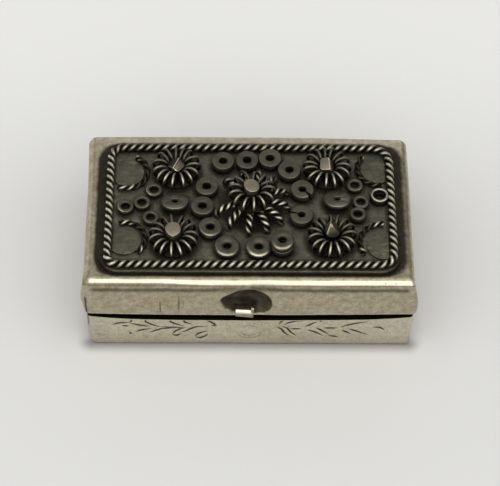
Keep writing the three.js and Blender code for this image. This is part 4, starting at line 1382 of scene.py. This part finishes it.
# Each stud's outline, how far it is turned, and the planes that slice its top: a point on the plane, its
# height measured down from the top, and the plane's direction. Then the direction in which its rim carries a
# painted highlight, how light its top is, and how wide and bright the painted highlights along its ridges
# are.
PEAK = (-0.22, 0.5, -0.05)
STUDS = {
    "rosette_stud_back_left": (
        "square", 35, (((0, 0, 0), (-0.50, 0.22, 1)), ((0, 0, 0), (0.75, -0.35, 1))), (0.3, -1), 0.17, 0.11, 1
    ),
    "rosette_stud_back_right": (
        "square", 4, (((0.3, 0, 0), (-0.2, -0.12, 1)), ((0.3, 0, 0), (1.5, 0, 1))), (0.3, -1), 0.42, 0.26, 1
    ),
    "rosette_stud_front_left": ("drop", 0, (((0, 0, -0.08), (0.04, -0.10, 1)),), (0.3, -1), 0.52, 0.1, 1),
    "rosette_stud_front_right": (
        "round", 0, [(PEAK, slope) for slope in ((-0.9, -0.15, 1), (0.62, -0.1, 1), (0.2, -0.62, 1))],
        (0.3, -1), 0.19, 0.12, 0.75,
    ),
    "flower_stud": ("round", 0, (((0, 0, -0.12), (0.22, -0.05, 1)),), (0.8, -0.6), 0.5, 0.1, 1),
}


def stud_outline(bm, kind, radius):
    """The foot of a stud: a face with its outline."""
    if kind == "square":
        half = radius * 0.92
        rounded_face(bm, (half, -half, half, 0), radius * 0.42, 5, (0, 0, 0))
        return
    made = bmesh.ops.create_circle(bm, cap_ends=True, segments=36, radius=radius)["verts"]
    if kind == "drop":
        for vert in made:
            pull = max(0.0, -vert.co.y / radius) ** 6
            vert.co.x *= 1 - 0.35 * pull
            vert.co.y -= 0.14 * pull


class PILLBOX_OT_studs(bpy.types.Operator):
    """Cut the studs that stand in the rosettes, each with its own top"""

    bl_idname = "pill_box.studs"
    bl_label = "Studs"

    def execute(self, context):
        for node, (kind, turned, cuts, (lit_x, lit_y), top, spread, shine) in STUDS.items():
            _, radius, height = node_size(node)
            bm = bmesh.new()
            stud_outline(bm, kind, radius)
            raised = bmesh.ops.extrude_face_region(bm, geom=list(bm.faces))["geom"]
            bmesh.ops.translate(bm, vec=(0, 0, height + 0.3), verts=verts_in(raised))
            bmesh.ops.recalc_face_normals(bm, faces=bm.faces)
            bmesh.ops.rotate(bm, cent=(0, 0, 0), matrix=turned_by(-turned), verts=bm.verts)
            for point, direction in cuts:
                self.cut_top(bm, Vector(point) + UP * height, direction)
            round_off(bm, 0.1, 3, 28)
            dark_facets = node == "rosette_stud_front_right"
            if dark_facets:
                self.cut_across(bm, radius)
            bm.normal_update()
            x, y, z = places_of(bm.verts).T
            # Darker towards the foot, with a painted highlight on one side of the rim and along the ridges
            rise = rising(z, height - 1.3, height - 0.35)
            upright = np.array([vert.normal.z for vert in bm.verts])
            rim = rising(np.hypot(x, y) / radius, 0.8, 0.98) * falling(np.abs(upright - 0.55), 0.14, 0.28)
            planes = [height + down - (x - px) * dx - (y - py) * dy for (px, py, down), (dx, dy, _) in cuts]
            planes = np.sort([*planes, np.full(len(x), 99.0)], axis=0)
            ridge = falling(planes[1] - planes[0], 0.02, spread) * shine
            lit = 0.3 + 0.7 * rising(x * lit_x + y * lit_y, -0.1, 0.6)
            # Painted shade on the front right stud's facets, with its ridge highlight only on the left
            if dark_facets:
                ridge *= rising(-x, -0.15, 0.05)
                lit *= 0.35
            paint(bm, wear=rise * (top + (1 - top) * most(rim * lit, ridge)))
            uneven(bm, 0.9, 0.02)
            bmesh.ops.translate(bm, vec=node_seat(node), verts=bm.verts)
            finished(bm, context, node, stud_silver)
        return {"FINISHED"}

    @staticmethod
    def cut_across(bm, radius):
        """Cuts the facets into small squares, so that they can stay dark between their edges."""
        for across in np.arange(-0.9, 0.95, 0.15) * radius:
            for normal in (RIGHTWARD, BACKWARD):
                cut_through(bm, normal * across, normal)

    @staticmethod
    def cut_top(bm, point, direction):
        """Cuts away all that stands over a plane, and closes the top."""
        made = cut_through(bm, point, Vector(direction).normalized(), clear_outer=True)
        open_edges = open_edges_in(made["geom_cut"])
        if open_edges:
            bmesh.ops.edgeloop_fill(bm, edges=open_edges)
        bmesh.ops.recalc_face_normals(bm, faces=bm.faces)


# Washers: corner radius, hole radius, how bright the rim's painted highlight is, how light the top is, the
# direction in which that painted highlight is brightest, and how much the washer outgrows its solid
WASHERS = {
    "washer_1": (0.14, 0.6, 0.1, 0.3, -107, 1),
    "washer_2": (0.14, 0.6, 0.1, 0.28, -107, 1),
    "washer_3": (0.2, 0.58, 0.3, 0.32, 40, 1.03),
    "washer_4": (0.14, 0.58, 0.15, 0.3, -107, 1.03),
    "washer_5": (0.2, 0.52, 0.25, 0.34, -30, 1.04),
    "washer_6": (0.14, 0.5, 0.12, 0.32, -107, 1.02),
    "washer_7": (0.5, 0.5, 0.95, 0.32, -115, 1.13),
    "washer_8": (0.5, 0.5, 0.8, 0.32, -125, 1.14),
    "washer_9": (0.34, 0.55, 0.5, 0.3, -135, 1.06),
    "washer_10": (0.2, 0.6, 0.15, 0.28, -107, 1.04),
    "washer_11": (0.14, 0.6, 0.12, 0.3, -107, 1),
    "stacked_washer_lower": (0.14, 0.6, 0.12, 0.28, -107, 1),
    "stacked_washer_upper": (0.42, 0.5, 0.7, 0.28, -85, 1.04),
}
# Two of them are open: how wide the opening is, and where
OPENINGS = {"washer_5": (20, -48), "washer_6": (16, 165)}

# The small rings: how bright each one's painted highlight is, and in which direction
RING_SHINE = {
    "left_1": (0.65, 175), "left_2": (0.4, 0), "left_3": (0.75, 175), "left_4": (0.15, -107),
    "right_1": (0.5, 10), "right_2": (0.15, -107), "right_3": (1.0, -107), "right_4": (0.8, 75),
}

# Where each large washer gets a small painted highlight on its top
LARGE_GLINTS = {"left": (-0.9, -0.85), "right": (0.75, -0.1)}


def bright_rim(bm, shine, height, top, towards):
    """Greys the flat top, darker down the sides as painted shade, and paints a highlight on the outer upper
    edge, most of all on one side.
    """
    x, y, z = places_of(bm.verts).T
    reach = np.hypot(x, y)
    radius = reach.max()
    rim = rising(reach, 0.80 * radius, 0.97 * radius)
    rise = rising(z, 0.35 * height, 0.9 * height)
    turn = math.radians(towards)
    facing = (x * math.cos(turn) + y * math.sin(turn)) / radius
    front = 0.25 + 0.75 * rising(facing, -0.1, 0.75)
    paint(bm, wear=top * (0.35 + 0.65 * rise) + shine * rim * front * rise)


class PILLBOX_OT_washers(bpy.types.Operator):
    """Turn the washers and small rings that fill the plaque, each a little different"""

    bl_idname = "pill_box.washers"
    bl_label = "Washers and Rings"

    def execute(self, context):
        draw = random.Random(17)
        for name, (corner, hole, shine, top, lit, grow) in WASHERS.items():
            _, outer, height = node_size(name)
            opening, towards = OPENINGS.get(name, (0, 0))
            bm = bmesh.new()
            spun_ring(bm, rounded_profile(hole, grow * outer, 0, height, corner, 5), 40, 360 - opening)
            bmesh.ops.rotate(bm, cent=(0, 0, 0), matrix=turned_by(towards + opening / 2), verts=bm.verts)
            bright_rim(bm, shine, height, top, lit)
            self.settle(bm, draw, node_seat(name))
            finished(bm, context, name, worn_silver)

        for name, (shine, lit) in RING_SHINE.items():
            node = "small_ring_" + name
            place = node_seat(node)
            _, outer, height = node_size(node)
            bm = bmesh.new()
            if name == "right_3":
                spun_ring(bm, rounded_profile(0.6, outer + 0.2, 0, height * 0.6, 0.12, 3), 30)
                spun_ring(bm, rounded_profile(0.88, 1.25, height * 0.62, height * 1.25, 0.17, 4), 40)
                # Painted light: the upper ring is painted brighter than the lower
                paint(bm, wear=rising(places_of(bm.verts)[:, 2], 0.6 * height, 1.2 * height) * 0.85)
                place.x += 0.2
            else:
                spun_ring(bm, rounded_profile(0.6, outer, 0, height, 0.2, 5), 32)
                if name == "right_4":
                    bmesh.ops.scale(bm, vec=(1, 1, 1.35), verts=bm.verts)
                bright_rim(bm, shine, height, 0.3, lit)
            self.settle(bm, draw, place)
            finished(bm, context, node, worn_silver)

        for side, glint_at in LARGE_GLINTS.items():
            self.large_washer(context, "large_washer_" + side, glint_at)
        return {"FINISHED"}

    @staticmethod
    def settle(bm, draw, place):
        """A slight lean, then into place."""
        shape = (
            Matrix.Translation(place)
            @ Matrix.Rotation(draw.uniform(-0.03, 0.03), 4, "X")
            @ Matrix.Rotation(draw.uniform(-0.03, 0.03), 4, "Y")
            @ Matrix.Diagonal((0.99, 0.99, 1, 1))
        )
        bmesh.ops.transform(bm, matrix=shape, verts=bm.verts)
        uneven(bm, 0.9, 0.03)

    @staticmethod
    def large_washer(context, name, glint_at):
        radius = node_size(name)[0]
        thickness = 0.55
        lean = math.radians(16)
        bm = bmesh.new()
        spun_ring(bm, rounded_profile(0.42, radius, 0, thickness, 0.14, 3), 44)
        x, y, z = places_of(bm.verts).T
        # Painted highlight on the front of the rim, and a small one on the top
        lip = rising(-y, 0.7, radius) * rising(np.hypot(x, y), radius * 0.8, radius * 0.97)
        glint = falling(np.hypot((x - glint_at[0]) / 2, y - glint_at[1]), 0.1, 0.24)
        paint(bm, wear=0.28 + rising(z, 0.2, thickness - 0.05) * most(0.32 * lip, 0.6 * glint))
        lift = Vector((0, -thickness / 2 * math.sin(lean), radius * math.sin(lean) + 0.04))
        shape = Matrix.Translation(node_seat(name) + lift) @ Matrix.Rotation(-lean, 4, "X")
        bmesh.ops.transform(bm, matrix=shape, verts=bm.verts)
        uneven(bm, 1.1, 0.04)
        finished(bm, context, name, dark_silver)


# The stage

# Lamps: place, where it faces, its size, its share of the stage's light, and its colour
LAMPS = {
    "softbox": ((0, -0.258, 0.369), (0, 0, 0), (1.5, 0.84), 1, (1, 0.98, 0.90)),
    "window": ((0.1, 0.75, 0.5), (0, 0.05, 0), (0.8, 0.3), 0.55, (1, 1, 1)),
    "wall": ((-0.5, 0.36, 0.16), (0, 0, 0), (0.5, 0.3), 0.45, (1, 0.98, 0.95)),
}

# The room's light at the horizon and above: height and colour
ROOM = ((0.0, (0.16, 0.155, 0.15, 1)), (0.9, (0.55, 0.55, 0.54, 1)))

# The camera's focal length, and the point that it looks at
LENS = 145.47
AIM = Vector((0.119, 4.595, 0)) * MM


class PILLBOX_OT_stage(bpy.types.Operator):
    """Lay the paper, hang the softbox and place the camera"""

    bl_idname = "pill_box.stage"
    bl_label = "Stage"

    def execute(self, context):
        stage = context.scene.pill_box_stage
        bm = bmesh.new()
        bmesh.ops.create_grid(bm, x_segments=4, y_segments=4, size=1.5)
        mesh = bpy.data.meshes.new("paper")
        bm.to_mesh(mesh)
        bm.free()
        mesh.materials.append(finish_named(paper, stage))
        self.placed(context, "paper", mesh)
        for name, (place, target, size, share, colour) in LAMPS.items():
            lamp = bpy.data.lights.new(name, "AREA")
            lamp.shape = "RECTANGLE"
            lamp.size, lamp.size_y = size
            lamp.energy = stage.light * share * math.pi * size[0] * size[1]
            lamp.color = colour
            holder = self.placed(context, name, lamp)
            holder.location = place
            holder.rotation_euler = (Vector(place) - Vector(target)).to_track_quat("Z", "Y").to_euler()
        self.room(context)
        self.camera(context, stage)
        context.scene.view_settings.view_transform = "Standard"
        return {"FINISHED"}

    @staticmethod
    def placed(context, name, data):
        made = bpy.data.objects.new(name, data)
        context.scene.collection.objects.link(made)
        return made

    @staticmethod
    def room(context):
        """A dim room: darker at the horizon in front, paler above."""
        context.scene.world = bpy.data.worlds.new("room")
        finish = Finish(context.scene.world)
        split = finish.node("SeparateXYZ", {0: finish.places["Generated"]})
        ramp = finish.node("ValToRGB", {0: split.outputs["Z"]})
        for element, (height, colour) in zip(ramp.color_ramp.elements, ROOM):
            element.position = height
            element.color = colour
        finish.surface("Background", {"Color": ramp.outputs[0]}, "OutputWorld")

    def camera(self, context, stage):
        data = bpy.data.cameras.new("camera")
        data.sensor_width = 36
        data.lens = LENS
        data.clip_start = 0.01
        data.clip_end = 10
        ahead = Vector((math.sin(stage.azimuth), -math.cos(stage.azimuth), 0))
        back = ahead * math.cos(stage.elevation) + UP * math.sin(stage.elevation)
        right = (-back).cross(UP).normalized()
        up = right.cross(-back)
        across = right * math.cos(stage.roll) + up * math.sin(stage.roll)
        upright = up * math.cos(stage.roll) - right * math.sin(stage.roll)
        turn = Matrix((across, upright, back)).transposed().to_4x4()
        camera = self.placed(context, "camera", data)
        camera.matrix_world = Matrix.Translation(AIM + back * stage.distance) @ turn
        context.scene.camera = camera


GROUPS = {
    "pill_box_shell": PillBoxShellSizes,
    "pill_box_wire": PillBoxWireSizes,
    "pill_box_finishes": PillBoxFinishes,
    "pill_box_stage": PillBoxStageSettings,
}
OPERATORS = (
    PILLBOX_OT_stage,
    PILLBOX_OT_base,
    PILLBOX_OT_lid,
    PILLBOX_OT_hinge,
    PILLBOX_OT_plaque,
    PILLBOX_OT_border,
    PILLBOX_OT_rosettes,
    PILLBOX_OT_studs,
    PILLBOX_OT_washers,
)


class PILLBOX_PT_panel(bpy.types.Panel):
    """Buttons for each part of the box"""

    bl_idname = "PILLBOX_PT_panel"
    bl_label = "Pill Box"
    bl_space_type = "VIEW_3D"
    bl_region_type = "UI"
    bl_category = "Pill Box"

    def draw(self, context):
        for operator in OPERATORS:
            self.layout.operator(operator.bl_idname)
        for group in GROUPS:
            box = self.layout.box()
            settings = getattr(context.scene, group)
            for name in setting_names(settings):
                box.prop(settings, name)


def register():
    for group in (*GROUPS.values(), *OPERATORS, PILLBOX_PT_panel):
        bpy.utils.register_class(group)
    for name, group in GROUPS.items():
        setattr(bpy.types.Scene, name, PointerProperty(type=group))


def unregister():
    for name in GROUPS:
        delattr(bpy.types.Scene, name)
    for group in (PILLBOX_PT_panel, *reversed(OPERATORS), *GROUPS.values()):
        bpy.utils.unregister_class(group)


def main():
    register()
    bpy.ops.pill_box.stage()
    bpy.ops.pill_box.base()
    bpy.ops.pill_box.lid()
    bpy.ops.pill_box.hinge()
    bpy.ops.pill_box.plaque()
    bpy.ops.pill_box.border()
    bpy.ops.pill_box.rosettes()
    bpy.ops.pill_box.studs()
    bpy.ops.pill_box.washers()


if __name__ == "__main__":
    main()
